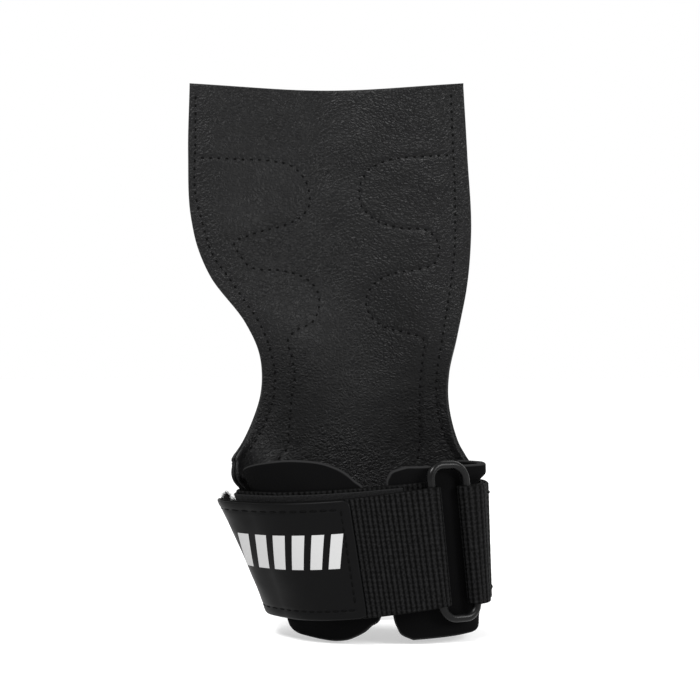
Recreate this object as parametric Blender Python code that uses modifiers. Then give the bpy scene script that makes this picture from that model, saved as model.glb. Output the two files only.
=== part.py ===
"""Hand grip: a leather palm pad on a wrist cuff that closes with a strap, a steel loop and hook and loop.

Metres, +Z up. The pad stands up from the cuff, its palm side faces -Y and its bar side faces +Y.
Lengths below are millimetres and are scaled by MM when a mesh is made.
"""
import math

import bmesh
import bpy
import numpy as np
from mathutils import Vector

MM = 0.001
CLEARANCE = 0.3

# Cuff: its inner face in plan at MID_HEIGHT. RING_CENTRE and the half sizes make a superellipse.
RING_CENTRE = (10.75, -26.5)
RING_HALF_WIDTH = 39.75
RING_HALF_DEPTH = 24.5
FRONT_POWER = 2.4
BACK_POWER = 3.0
BACK_FLAT = 0.5
MID_HEIGHT = 35.0
RING_SAMPLES = 1440
RUN_SAMPLES = 240
# How far the cuff leans to the left for each millimetre of height, at its front and towards its two sides.
LEAN_FRONT = 0.155
LEAN_LEFT = 0.215
LEAN_RIGHT = -0.125

# Thickness of the layers, and where each starts, outward from the inner face.
WING_THICKNESS = 3.5
WING_GAP = 0.5
LEATHER_START = WING_THICKNESS + WING_GAP
ROOT_LEATHER = 1.5
ROOT_BACK_START = LEATHER_START + ROOT_LEATHER + CLEARANCE
WEBBING = 1.6
PILE = 1.2
HOOKS = 1.0
PATCH = 1.0
BAND_CENTRE = LEATHER_START + WEBBING / 2
EAR_SLACK = 0.2
EAR_LIFT = 2 * (ROOT_LEATHER + CLEARANCE) + EAR_SLACK
PILE_START = LEATHER_START + WEBBING + CLEARANCE
HOOK_START = PILE_START + PILE + CLEARANCE
HOOK_GAP = 0.4
TAIL_CENTRE = HOOK_START + HOOKS + HOOK_GAP + WEBBING / 2
PATCH_START = TAIL_CENTRE + WEBBING / 2 + CLEARANCE
STRAP_HALF = 23.7
PILE_HALF = 22.3
HOOK_HALF = 22.0
# The strap leaves the leather over EAR_FADE, from EAR_FADE_START past the left side.
EAR_FADE_START = 2.0
EAR_FADE = 12.0
# The strap's outer run: its middle height at the front, how it climbs to the right, and its curling free end.
TAIL_HEIGHT = 33.9
TAIL_CLIMB = 0.105
TAIL_CURVE = 0.0011
TAIL_CURL = 3.8
TAIL_CURL_REACH = 26.0
ANCHOR_HEIGHT = 38.5

# Steel loop: a wire bent to a long ring, its two bars upright.
WIRE_RADIUS = 1.75
LOOP_LENGTH = 61.3
LOOP_MIDDLE = 40.0
LOOP_CORNER = 6.0
LOOP_LEAN = 0.095
LEFT_BAR_X = 34.9
RIGHT_BAR_X = 49.2
BAR_OFFSET = LEATHER_START + WEBBING + CLEARANCE + WIRE_RADIUS
FOLD_RADIUS = WIRE_RADIUS + CLEARANCE + WEBBING / 2

# Palm pad: outlines as (height, x), then how it is dished.
PAD_LEFT = [(60, -48.5), (66, -48.5), (71, -47.0), (76, -44.8), (81, -42.7), (86.5, -40.7), (97, -37.9),
            (106, -37.4), (117, -39.2), (128, -44.4), (148, -59.4), (160, -64.7), (172, -67.5), (200, -69.0),
            (229, -68.5)]
PAD_RIGHT = [(60, 49.5), (66, 49.2), (71, 47.6), (76, 45.2), (81, 43.6), (86.5, 42.3), (97, 41.1),
             (106, 41.6), (122, 45.2), (143, 49.6), (165, 51.5), (200, 50.0), (229, 48.4)]
PAD_TOP = 229.0
PAD_TOP_DIP = 2.0
PAD_SLOPE_STEP = 0.5
PAD_DISH = 15.0
PAD_LEAN_BACK = 0.045
DISH_START = 70.0
DISH_FULL = 140.0
BEND_HEIGHT = 79.5
BEND_GAP = 3.5
BEND_ARCH = 3.0
FACE_LEATHER = 1.1
CORE = 0.8
CORE_INSET = 9.0
CORE_TRIM = 4.0
OVERLAY = 1.2
CORE_START = LEATHER_START + FACE_LEATHER + CLEARANCE
BACK_START = CORE_START + CORE + CLEARANCE
OVERLAY_GAP = 0.8
OVERLAY_START = BACK_START + FACE_LEATHER + OVERLAY_GAP

THREAD_RADIUS = 0.35
THREAD_STEP = 4.0
THREAD_LIFT = 0.45
THREAD_STANDOFF = THREAD_LIFT + THREAD_RADIUS

# Columns and rows of each sheet's grid.
GRIDS = {"palm_face": (14, 18), "palm_core": (12, 14), "palm_back": (14, 18), "palm_overlay": (12, 34),
         "root_face": (30, 20), "root_back": (30, 20), "wing_left": (30, 6), "wing_right": (26, 8),
         "strap_band": (64, 3), "loop_pile_strip": (26, 3), "anchor_loop": (52, 3), "strap_tail": (60, 8),
         "hook_panel": (26, 8), "end_patch": (26, 8)}
WIRE_ROUNDNESS = 2
LOOP_CORNER_STEPS = 6


def smooth(points, at):
    """Cubic curve through (position, value) pairs, for positions in rising order."""
    xs = np.array([p[0] for p in points], dtype=float)
    ys = np.array([p[1] for p in points], dtype=float)
    slopes = np.gradient(ys, xs)
    at = min(max(at, xs[0]), xs[-1])
    i = min(int(np.searchsorted(xs, at, side="right")) - 1, len(xs) - 2)
    width = xs[i + 1] - xs[i]
    t = (at - xs[i]) / width
    rise = 3 * t * t - 2 * t ** 3
    bend = (t ** 3 - 2 * t * t + t) * slopes[i] + (t ** 3 - t * t) * slopes[i + 1]
    return float(ys[i] + (ys[i + 1] - ys[i]) * rise + width * bend)


def ease(t):
    t = min(max(t, 0.0), 1.0)
    return t * t * (3 - 2 * t)


def mix(a, b, t):
    return a + (b - a) * t


def ring_plan():
    """The cuff's plan curve: arc length, point and outward normal, counted from x = 0 at the front."""
    angles = np.linspace(-math.pi / 2, 3 * math.pi / 2, RING_SAMPLES + 1)
    power = np.where(np.sin(angles) > 0, BACK_POWER, FRONT_POWER)
    along = np.sign(np.cos(angles)) * np.abs(np.cos(angles)) ** (2 / power)
    across = np.sign(np.sin(angles)) * np.abs(np.sin(angles)) ** (2 / power)
    xs = RING_CENTRE[0] + RING_HALF_WIDTH * along
    ys = RING_CENTRE[1] + RING_HALF_DEPTH * across
    ys = np.minimum(ys, RING_CENTRE[1] + RING_HALF_DEPTH - BACK_FLAT)
    steps = np.hypot(np.diff(xs), np.diff(ys))
    length = np.concatenate([[0.0], np.cumsum(steps)])
    front = (ys < RING_CENTRE[1]) & (xs < RING_CENTRE[0] + 1)
    start = length[front][np.argmin(np.abs(xs[front]))] - length[-1]
    tangent_x = np.gradient(xs, length)
    tangent_y = np.gradient(ys, length)
    size = np.hypot(tangent_x, tangent_y)
    return length, start, xs, ys, tangent_x / size, tangent_y / size


LENGTH, START, RING_X, RING_Y, TANGENT_X, TANGENT_Y = ring_plan()
PERIMETER = float(LENGTH[-1])
LEFT_SIDE = float(LENGTH[np.argmin(RING_X)] - START - PERIMETER)
RIGHT_SIDE = float(LENGTH[np.argmax(RING_X)] - START)


def ring_at(s):
    """Plan point and outward normal at arc length s."""
    at = (s + START) % PERIMETER
    x, y, tx, ty = (float(np.interp(at, LENGTH, row)) for row in (RING_X, RING_Y, TANGENT_X, TANGENT_Y))
    return Vector((x, y)), Vector((ty, -tx)).normalized()


def lean(x):
    left = max(0.0, -x) / (RING_HALF_WIDTH - RING_CENTRE[0])
    right = max(0.0, x) / (RING_HALF_WIDTH + RING_CENTRE[0])
    return LEAN_FRONT + LEAN_LEFT * left ** 1.2 + LEAN_RIGHT * right ** 3


def ring_point(s, z, offset):
    """Point of the cuff at arc length s and height z, offset outward from its inner face."""
    plan, normal = ring_at(s)
    spot = plan + normal * offset
    return Vector((spot.x - lean(plan.x) * (z - MID_HEIGHT), spot.y, z))


def ring_s(x, z, offset, back):
    """Arc length where the cuff's front or back reaches x."""
    if back:
        run = np.linspace(RIGHT_SIDE, PERIMETER + LEFT_SIDE, RUN_SAMPLES)
    else:
        run = np.linspace(LEFT_SIDE, RIGHT_SIDE, RUN_SAMPLES)
    xs = np.array([ring_point(s, z, offset).x for s in run])
    if back:
        return float(np.interp(-x, -xs, run))
    return float(np.interp(x, xs, run))


LEFT_BAR = ring_s(LEFT_BAR_X, MID_HEIGHT, BAR_OFFSET, False)
RIGHT_BAR = ring_s(RIGHT_BAR_X, MID_HEIGHT, BAR_OFFSET, False)
TAIL_TIP = LEFT_SIDE - 5.0
TAIL_DROP = 12.0
ANCHOR_END = RIGHT_SIDE + 16.0
ANCHOR_DROP = 9.0
BAND_START = RIGHT_SIDE + 11.0
BAND_STOP = PERIMETER + LEFT_BAR - 4.0
PILE_START_S = LEFT_SIDE - 14.0
PILE_STOP_S = LEFT_BAR - 9.0
BACK_CACHE = {}


def back_profile(z):
    """x and y of the leather's inner face where it lies in the back of the cuff, at height z."""
    key = round(z, 3)
    if key not in BACK_CACHE:
        run = np.linspace(RIGHT_SIDE, PERIMETER + LEFT_SIDE, RUN_SAMPLES)
        spots = [ring_point(s, z, LEATHER_START) for s in run][::-1]
        BACK_CACHE[key] = (np.array([p.x for p in spots]), np.array([p.y for p in spots]))
    return BACK_CACHE[key]


def pad_depth(x, z):
    """y of the pad's palm side: the cuff's own curve low down, a wide dish higher up."""
    left = smooth(PAD_LEFT, z)
    right = smooth(PAD_RIGHT, z)
    reach = abs(x - (left + right) / 2) / ((right - left) / 2)
    dish = PAD_DISH * (1 - math.cos(math.pi * min(reach, 1.0))) / 2
    deepest = RING_CENTRE[1] + RING_HALF_DEPTH + LEATHER_START - BACK_FLAT
    free = deepest + PAD_LEAN_BACK * (z - DISH_START) - dish
    xs, ys = back_profile(z)
    held = float(np.interp(x, xs, ys))
    return mix(held, free, ease((z - DISH_START) / (DISH_FULL - DISH_START)))


def pad_point(x, z, offset):
    """Point of the pad seen at (x, z), offset towards the bar side from the palm side."""
    step = PAD_SLOPE_STEP
    y = pad_depth(x, z)
    slope_x = (pad_depth(x + step, z) - pad_depth(x - step, z)) / (2 * step)
    slope_z = (pad_depth(x, z + step) - pad_depth(x, z - step)) / (2 * step)
    normal = Vector((-slope_x, 1, -slope_z)).normalized()
    return Vector((x, y, z)) + normal * (offset - LEATHER_START)


def ear_lift(s):
    """Extra offset where the strap lies over the leather, from the back round to the left side."""
    at = s % PERIMETER
    if at < RIGHT_BAR:
        return 0.0
    return EAR_LIFT * (1 - ease((at - PERIMETER - LEFT_SIDE - EAR_FADE_START) / EAR_FADE))


BAND_HEIGHTS = [(RIGHT_SIDE, ANCHOR_HEIGHT), (PERIMETER / 2, 37), (PERIMETER - 46, 35), (PERIMETER - 20, 35.9),
                (PERIMETER, 37.4), (PERIMETER + 45, 41.5)]


def band_height(s):
    """Middle height of the inner strap run, from the right side round the back to the front."""
    return smooth(BAND_HEIGHTS, s if s > RIGHT_BAR else s + PERIMETER)


def tail_height(s):
    """Middle height of the strap's outer run."""
    return TAIL_HEIGHT + TAIL_CLIMB * s + TAIL_CURVE * s * s


def tail_curl(s, side):
    """How far the free end's upper corner stands off; side is -1 at the lower edge and 1 at the upper."""
    return TAIL_CURL * ease((TAIL_TIP + TAIL_CURL_REACH - s) / TAIL_CURL_REACH) * ((1 + side) / 2) ** 2


# ---- making objects -------------------------------------------------------------------------------------

def clear_scene():
    for obj in list(bpy.data.objects):
        bpy.data.objects.remove(obj, do_unlink=True)


def material(name, colour, roughness, metallic=0.0):
    made = bpy.data.materials.new(name)
    made.use_nodes = True
    shader = made.node_tree.nodes["Principled BSDF"]
    shader.inputs["Base Color"].default_value = (*colour, 1.0)
    shader.inputs["Roughness"].default_value = roughness
    shader.inputs["Metallic"].default_value = metallic
    return made


def empty(name, location, parent, collection):
    made = bpy.data.objects.new(name, None)
    collection.objects.link(made)
    made.parent = parent
    made.location = location
    return made


class Body:
    """Pieces that move together: their empty sits on the joint's axis, at origin (millimetres)."""

    def __init__(self, name, origin, parent, collection):
        self.origin = Vector(origin)
        above = parent.origin if parent else Vector((0, 0, 0))
        self.collection = collection
        self.empty = empty(name, (self.origin - above) * MM, parent.empty if parent else None, collection)

    def add(self, name, data, made_of):
        obj = bpy.data.objects.new(name, data)
        data.materials.append(made_of)
        self.collection.objects.link(obj)
        obj.parent = self.empty
        return obj

    def sheet(self, name, place, thickness, grow, made_of):
        """Curved sheet: place(i, j) gives a point for i and j from 0 to 1."""
        columns, rows = GRIDS[name]
        mesh = bpy.data.meshes.new(name)
        grid = bmesh.new()
        bmesh.ops.create_grid(grid, x_segments=columns, y_segments=rows, size=0.5)
        for vert in grid.verts:
            vert.co = (place(vert.co.x + 0.5, vert.co.y + 0.5) - self.origin) * MM
        grid.to_mesh(mesh)
        grid.free()
        obj = self.add(name, mesh, made_of)
        shell = obj.modifiers.new("thickness", "SOLIDIFY")
        shell.thickness = thickness * MM
        shell.offset = grow
        return obj

    def wire(self, name, points, radius, made_of, closed=False, resolution=0):
        """Round wire or thread through points."""
        curve = bpy.data.curves.new(name, "CURVE")
        curve.dimensions = "3D"
        curve.bevel_depth = radius * MM
        curve.bevel_resolution = resolution
        curve.use_fill_caps = True
        spline = curve.splines.new("POLY")
        spline.points.add(len(points) - 1)
        for knot, point in zip(spline.points, points):
            knot.co = (*((point - self.origin) * MM), 1.0)
        spline.use_cyclic_u = closed
        return self.add(name, curve, made_of)


def along(outline, place):
    """Points every THREAD_STEP along a smooth line through 2D outline points, placed in 3D."""
    flat = [Vector(p) for p in outline]
    reach = [0.0]
    for a, b in zip(flat, flat[1:]):
        reach.append(reach[-1] + (b - a).length)
    count = max(3, round(reach[-1] / THREAD_STEP) + 1)
    us = [(r, p.x) for r, p in zip(reach, flat)]
    vs = [(r, p.y) for r, p in zip(reach, flat)]
    return [place(smooth(us, t), smooth(vs, t)) for t in np.linspace(0, reach[-1], count)]


def straight_seam(corners, place):
    """Points about THREAD_STEP apart along straight runs between 2D corners, placed in 3D."""
    points = [place(*corners[0])]
    for a, b in zip(corners, corners[1:]):
        steps = max(2, round(math.dist(a, b) / THREAD_STEP))
        points += [place(mix(a[0], b[0], k / steps), mix(a[1], b[1], k / steps)) for k in range(1, steps + 1)]
    return points


# ---- palm pad -------------------------------------------------------------------------------------------

OVERLAY_LEFT = [(84, -26), (96, -25), (106, -23.7), (114, -25), (123, -26.5), (126, -19), (132, -14),
                (138, -13.3), (143, -14.6), (148, -19.4), (151, -29), (153, -44), (157, -48.5), (162, -50),
                (165.5, -44), (171, -27), (174.5, -21.3), (179, -18), (184, -17.6), (191, -20), (196, -25),
                (198.5, -36), (200, -60), (204, -64.5), (226, -64.5)]
OVERLAY_RIGHT = [(84, 30), (102, 30), (113, 31), (121, 32), (124, 24), (127.5, 14), (132.5, 8.6),
                 (138, 6.9), (145, 10.3), (149, 17), (151, 28.8), (153, 36), (160, 39), (166.5, 36),
                 (169, 22), (173, 10.8), (178, 5.2), (184.5, 3.9), (190, 5.2), (195, 7.7), (197.5, 14),
                 (199, 22), (200.5, 40), (205, 43), (226, 43)]
EDGE_SEAM_LEFT = [(-65.8, 226), (-65.8, 207), (-65.4, 181), (-62.8, 171), (-58.5, 157.5), (-51.2, 147),
                  (-44.3, 137), (-37.8, 127), (-34, 117), (-31.9, 104), (-33.5, 93), (-36.6, 86)]
EDGE_SEAM_RIGHT = [(43, 227), (43.9, 203), (44.7, 181), (44.3, 157.5), (41.3, 135), (38.7, 119), (36.6, 103),
                   (37.2, 92), (38.5, 86)]
OVERLAY_SEAM_LEFT = [(-64.5, 198.5), (-48, 198.3), (-34, 198), (-25, 196), (-20, 191), (-17.6, 184),
                     (-18, 178.5), (-21.5, 174), (-27, 171), (-42, 166), (-49.5, 162), (-47, 157),
                     (-43.4, 152.5), (-28.8, 150.6), (-19.4, 147.6), (-14.6, 143), (-13.3, 137),
                     (-16, 129), (-24, 124.3), (-26.5, 121), (-25, 114), (-23.7, 106), (-25, 96),
                     (-26, 86)]
OVERLAY_SEAM_RIGHT = [(43, 199.6), (31, 199.4), (20, 199), (13.8, 197.5), (7.7, 194), (4.3, 187),
                      (4.6, 180), (10.8, 173), (21.9, 169), (34, 167), (38, 161), (36, 153.5), (28.8, 151),
                      (17, 149), (10.3, 145), (6.9, 138), (8.6, 132), (14.2, 127), (23.7, 124.2),
                      (31.5, 121), (31, 113), (30, 102), (30, 86)]


def pad_place(offset, inset, bottom, top):
    """Place function for a pad layer whose sides follow the outline, inset from it."""
    def place(i, j):
        z = mix(bottom, top, j)
        x = mix(smooth(PAD_LEFT, z) + inset, smooth(PAD_RIGHT, z) - inset, i)
        reach = 2 * i - 1
        z += BEND_ARCH * reach ** 2 * (1 - j) ** 6
        z -= PAD_TOP_DIP * (1 - reach ** 4) * j ** 8
        return pad_point(x, z, offset)
    return place


def overlay_place(i, j):
    z = mix(OVERLAY_LEFT[0][0], OVERLAY_LEFT[-1][0], j)
    left = smooth(OVERLAY_LEFT, z)
    right = smooth(OVERLAY_RIGHT, z)
    return pad_point(mix(left, right, i), z, OVERLAY_START)


def add_palm(palm, leather, lining, thread):
    low = BEND_HEIGHT + BEND_GAP
    core = pad_place(CORE_START, CORE_INSET, low + CORE_TRIM, PAD_TOP - CORE_TRIM)
    palm.sheet("palm_face", pad_place(LEATHER_START, 0, low, PAD_TOP), FACE_LEATHER, -1, leather)
    palm.sheet("palm_core", core, CORE, -1, lining)
    palm.sheet("palm_back", pad_place(BACK_START, 0, low, PAD_TOP), FACE_LEATHER, -1, leather)
    palm.sheet("palm_overlay", overlay_place, OVERLAY, -1, leather)
    seams = {"edge_seam_left": EDGE_SEAM_LEFT, "edge_seam_right": EDGE_SEAM_RIGHT,
             "overlay_seam_left": OVERLAY_SEAM_LEFT, "overlay_seam_right": OVERLAY_SEAM_RIGHT}
    for name, line in seams.items():
        points = along(line, lambda x, z: pad_point(x, z, LEATHER_START - THREAD_STANDOFF))
        palm.wire(name, points, THREAD_RADIUS, thread)


# ---- cuff -----------------------------------------------------------------------------------------------

ROOT_BOTTOM = 11.0
ROOT_TOP = BEND_HEIGHT - BEND_GAP
ROOT_LAP_HEIGHTS = (ROOT_BOTTOM, 59.5, 63.5)
ROOT_EDGE_HEIGHTS = (68.5, 72, ROOT_TOP)
ROOT_LEFT = [(ROOT_BOTTOM, -10), (40, -6), (60, -1), (66, -1), (71, -5), (ROOT_TOP, -13)]
WING_LAP = 16.0
ROOT_LAP = RIGHT_SIDE + WING_LAP + 1.5
TONGUE_TOP = [(-WING_LAP, 58), (0, 66), (8, 68.5), (18, 71), (30, 72.4), (40, 70.5), (48, 65), (53, 57),
              (55, 46)]
TONGUE_BOTTOM = [(-WING_LAP, 18), (-6, 12), (0, 8), (6, 4.5), (14, 1.5), (22, 0.2), (30, 0), (38, 1.5),
                 (46, 6), (52, 14), (55, 30)]
# Below the strap the tongue's left side bulges out.
BULGE = 4.5
BULGE_TOP = 10.8
BULGE_BOTTOM = 5.0
BULGE_REACH = 18.0
TAB_END = [(0, 20), (1.5, 16.5), (5, 14.3), (12, 13.4), (35, 16), (60, 18.3), (66, 19.5), (68.5, 22), (70, 27)]
TAB_TOP = 70.0
TAB_FOOT = 0.8
TAB_RISE = 3.5
TAB_CORNER = 4.0
TAB_CORNER_FROM = 0.45
TAIL_FOLD_FROM = 0.86
ANCHOR_FOLD_FROM = 0.36
ANCHOR_FOLD_TO = 0.64
WING_SEAM_HEIGHTS = (19.0, 38.0, 60.0)
WING_SEAM_LEFT = LEFT_SIDE - 8.0
WING_SEAM_RIGHT = RIGHT_SIDE + 11.0
EAR_SEAM_LEFT = [(-40.5, 74.5), (-42, 72.5), (-44.2, 69)]
EAR_SEAM_RIGHT = [(42.2, 75), (43.2, 73.5), (44.2, 72)]
# The box stitched through the anchor: from and to along the cuff, then its lower and upper height.
BOX_NEAR = RIGHT_SIDE - 8.0
BOX_FAR = RIGHT_SIDE + 6.0
BOX_LOW = 19.0
BOX_HIGH = 58.0


def root_place(offset):
    """Place function for a root layer, from behind the right wing's lap to the pad's edge higher up."""
    right_end = [(z, ROOT_LAP) for z in ROOT_LAP_HEIGHTS]
    right_end += [(z, ring_s(smooth(PAD_RIGHT, z), z, offset, True)) for z in ROOT_EDGE_HEIGHTS]

    def place(i, j):
        reach = 2 * i - 1
        z = mix(ROOT_BOTTOM, ROOT_TOP - BEND_ARCH * reach ** 2, j)
        right = smooth(right_end, z)
        left = PERIMETER + LEFT_SIDE + smooth(ROOT_LEFT, z)
        return ring_point(mix(right, left, 0.5 - 0.5 * math.cos(math.pi * i)), z, offset)
    return place


def tongue_place(i, j):
    """Left wing: from its lap behind the ear to the rounded tip at the front."""
    reach = mix(-WING_LAP, TONGUE_TOP[-1][0], math.sin(i * math.pi / 2) if i > 0.5 else i * math.sqrt(2))
    z = mix(smooth(TONGUE_BOTTOM, reach), smooth(TONGUE_TOP, reach), j)
    below = ease((BULGE_TOP - z) / (BULGE_TOP - BULGE_BOTTOM))
    return ring_point(LEFT_SIDE + reach, z, BULGE * below * ease((BULGE_REACH - reach) / BULGE_REACH))


def tab_place(i, j):
    """Right wing: from its square end at the front to its lap behind the ear."""
    height = TAB_TOP * j
    s = mix(smooth(TAB_END, height), RIGHT_SIDE + WING_LAP, i)
    corner = TAB_CORNER * ease((i - TAB_CORNER_FROM) / (1 - TAB_CORNER_FROM))
    z = height + (1 - j) * (TAB_FOOT + TAB_RISE * i + corner)
    return ring_point(s, z, 0)


def strip_place(path, half, height, curl=None):
    """Place function for a strap: path(i) gives its plan point, lean and arc length."""
    def place(i, j):
        spot, tilt, s = path(i)
        side = 2 * j - 1
        if curl:
            spot = spot + ring_at(s)[1] * curl(s, side)
        z = height(s) + half * side
        return Vector((spot.x - tilt * (z - MID_HEIGHT), spot.y, z))
    return place


def run_path(start, end, offset):
    """Path along the cuff from arc length start to end."""
    def path(i):
        s = mix(start, end, i)
        plan, normal = ring_at(s)
        return plan + normal * offset(s), lean(plan.x), s
    return path


def bar_centre(s):
    plan, normal = ring_at(s)
    return plan + normal * BAR_OFFSET


def fold_point(s, turn, side):
    """Plan point of webbing wrapped round a bar: turn from 0 (outer) to 1 (inner), side +1 is the right."""
    plan, normal = ring_at(s)
    tangent = Vector((-normal.y, normal.x))
    angle = math.pi * (0.5 - turn)
    return bar_centre(s) + (tangent * side * math.cos(angle) + normal * math.sin(angle)) * FOLD_RADIUS


def tail_offset(s):
    near_bar = ease((s - LEFT_BAR + WIRE_RADIUS + TAIL_DROP) / TAIL_DROP)
    return mix(TAIL_CENTRE + ear_lift(s), BAR_OFFSET + FOLD_RADIUS, near_bar)


def tail_path(i):
    """Tail from its tip to the left bar, round it and in below it."""
    if i <= TAIL_FOLD_FROM:
        s = mix(TAIL_TIP, LEFT_BAR, i / TAIL_FOLD_FROM)
        plan, normal = ring_at(s)
        return plan + normal * tail_offset(s), lean(plan.x), s
    turn = (i - TAIL_FOLD_FROM) / (1 - TAIL_FOLD_FROM)
    return fold_point(LEFT_BAR, turn, 1), LOOP_LEAN, LEFT_BAR


def anchor_path(i):
    """Anchor webbing: inner leg, round the right bar, outer leg back to the right side."""
    if i < ANCHOR_FOLD_FROM:
        s = mix(ANCHOR_END, RIGHT_BAR, i / ANCHOR_FOLD_FROM)
        plan, normal = ring_at(s)
        return plan + normal * BAND_CENTRE, lean(plan.x), s
    if i <= ANCHOR_FOLD_TO:
        turn = (ANCHOR_FOLD_TO - i) / (ANCHOR_FOLD_TO - ANCHOR_FOLD_FROM)
        return fold_point(RIGHT_BAR, turn, -1), LOOP_LEAN, RIGHT_BAR
    s = mix(RIGHT_BAR, ANCHOR_END, (i - ANCHOR_FOLD_TO) / (1 - ANCHOR_FOLD_TO))
    plan, normal = ring_at(s)
    low = BAND_CENTRE + WEBBING + CLEARANCE
    offset = mix(BAR_OFFSET + FOLD_RADIUS, low, ease((s - RIGHT_BAR - WIRE_RADIUS) / ANCHOR_DROP))
    return plan + normal * offset, lean(plan.x), s


def add_cuff(cuff, leather, neoprene, webbing, pile, thread):
    cuff.sheet("root_face", root_place(LEATHER_START), ROOT_LEATHER, 1, leather)
    cuff.sheet("root_back", root_place(ROOT_BACK_START), ROOT_LEATHER, 1, leather)
    cuff.sheet("wing_left", tongue_place, WING_THICKNESS, 1, neoprene)
    cuff.sheet("wing_right", tab_place, WING_THICKNESS, 1, neoprene)
    band = run_path(BAND_START, BAND_STOP, lambda s: BAND_CENTRE + ear_lift(s))
    cuff.sheet("strap_band", strip_place(band, STRAP_HALF, band_height), WEBBING, 0, webbing)
    soft = run_path(PILE_START_S, PILE_STOP_S, lambda s: PILE_START + PILE / 2 + ear_lift(s))
    cuff.sheet("loop_pile_strip", strip_place(soft, PILE_HALF, band_height), PILE, 0, pile)
    anchor = strip_place(anchor_path, STRAP_HALF, lambda s: ANCHOR_HEIGHT)
    cuff.sheet("anchor_loop", anchor, WEBBING, 0, webbing)
    add_cuff_seams(cuff, thread)


def add_cuff_seams(cuff, thread):
    for name, s in (("wing_seam_left", WING_SEAM_LEFT), ("wing_seam_right", WING_SEAM_RIGHT)):
        line = [(s, z) for z in WING_SEAM_HEIGHTS]
        points = along(line, lambda s, z: ring_point(s, z, -THREAD_STANDOFF))
        cuff.wire(name, points, THREAD_RADIUS, thread)
    for name, line in (("ear_seam_left", EAR_SEAM_LEFT), ("ear_seam_right", EAR_SEAM_RIGHT)):
        points = along(line, lambda x, z: ring_point(ring_s(x, z, LEATHER_START, True), z,
                                                     LEATHER_START - THREAD_STANDOFF))
        cuff.wire(name, points, THREAD_RADIUS, thread)
    outer = LEATHER_START + 2 * WEBBING + CLEARANCE + THREAD_STANDOFF
    corners = [(BOX_NEAR, BOX_LOW), (BOX_FAR, BOX_LOW), (BOX_FAR, BOX_HIGH), (BOX_NEAR, BOX_HIGH),
               (BOX_NEAR, BOX_LOW + THREAD_STEP)]
    points = straight_seam(corners, lambda s, z: ring_point(s, z, outer))
    cuff.wire("anchor_seam", points[:-1], THREAD_RADIUS, thread)


# ---- steel loop and tail --------------------------------------------------------------------------------

def bar_point(s, z):
    spot = bar_centre(s)
    return Vector((spot.x - LOOP_LEAN * (z - MID_HEIGHT), spot.y, z))


def add_loop(buckle, steel):
    left = bar_point(LEFT_BAR, LOOP_MIDDLE)
    right = bar_point(RIGHT_BAR, LOOP_MIDDLE)
    middle = (left + right) / 2
    across = (right - left) / 2
    up = Vector((-LOOP_LEAN, 0, 1)).normalized()
    tall = LOOP_LENGTH / 2 - LOOP_CORNER
    wide = across.length - LOOP_CORNER
    across.normalize()
    points = []
    for quarter, (side, end) in enumerate(((1, 1), (-1, 1), (-1, -1), (1, -1))):
        for k in range(LOOP_CORNER_STEPS + 1):
            angle = math.pi / 2 * (quarter + k / LOOP_CORNER_STEPS)
            sideways = side * wide + LOOP_CORNER * math.cos(angle)
            points.append(middle + across * sideways + up * (end * tall + LOOP_CORNER * math.sin(angle)))
    buckle.wire("steel_loop", points, WIRE_RADIUS, steel, closed=True, resolution=WIRE_ROUNDNESS)


def tail_layer(s, across, offset):
    """Point on a layer of the strap's outer run, across from its middle line."""
    lifted = offset + ear_lift(s) + tail_curl(s, across / STRAP_HALF)
    return ring_point(s, tail_height(s) + across, lifted)


def patch_place(start, end, offset, half):
    def place(i, j):
        return tail_layer(mix(start, end, i), half * (2 * j - 1), offset)
    return place


PATCH_EDGE = 3.8
PATCH_HALF = 23.2
PATCH_MARGIN = 3.4
HOOK_EDGE = 0.5
PATCH_SEAM_RISE = PATCH + THREAD_STANDOFF + 0.2


def add_tail(tail, webbing, hooks, smooth_leather, thread):
    run = strip_place(tail_path, STRAP_HALF, tail_height, tail_curl)
    tail.sheet("strap_tail", run, WEBBING, 0, webbing)
    tail.sheet("hook_panel", patch_place(TAIL_TIP, HOOK_EDGE, HOOK_START, HOOK_HALF), HOOKS, 1, hooks)
    tail.sheet("end_patch", patch_place(TAIL_TIP, PATCH_EDGE, PATCH_START, PATCH_HALF), PATCH, 1,
               smooth_leather)
    near, far, half = PATCH_EDGE - PATCH_MARGIN, TAIL_TIP + PATCH_MARGIN, PATCH_HALF - PATCH_MARGIN
    corners = [(far, half), (near, half), (near, -half), (far, -half)]
    points = straight_seam(corners, lambda s, across: tail_layer(s, across, PATCH_START + PATCH_SEAM_RISE))
    tail.wire("patch_seam", points, THREAD_RADIUS, thread)


def centre_on_floor(root, objects):
    """Move the root so that the whole grip stands on z = 0, centred on the origin."""
    bpy.context.view_layer.update()
    graph = bpy.context.evaluated_depsgraph_get()
    corners = []
    for obj in objects:
        shaped = obj.evaluated_get(graph)
        mesh = shaped.to_mesh()
        corners += [shaped.matrix_world @ vert.co for vert in mesh.vertices]
        shaped.to_mesh_clear()
    low = Vector([min(c[k] for c in corners) for k in range(3)])
    high = Vector([max(c[k] for c in corners) for k in range(3)])
    root.location = (-(low.x + high.x) / 2, -(low.y + high.y) / 2, -low.z)


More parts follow.
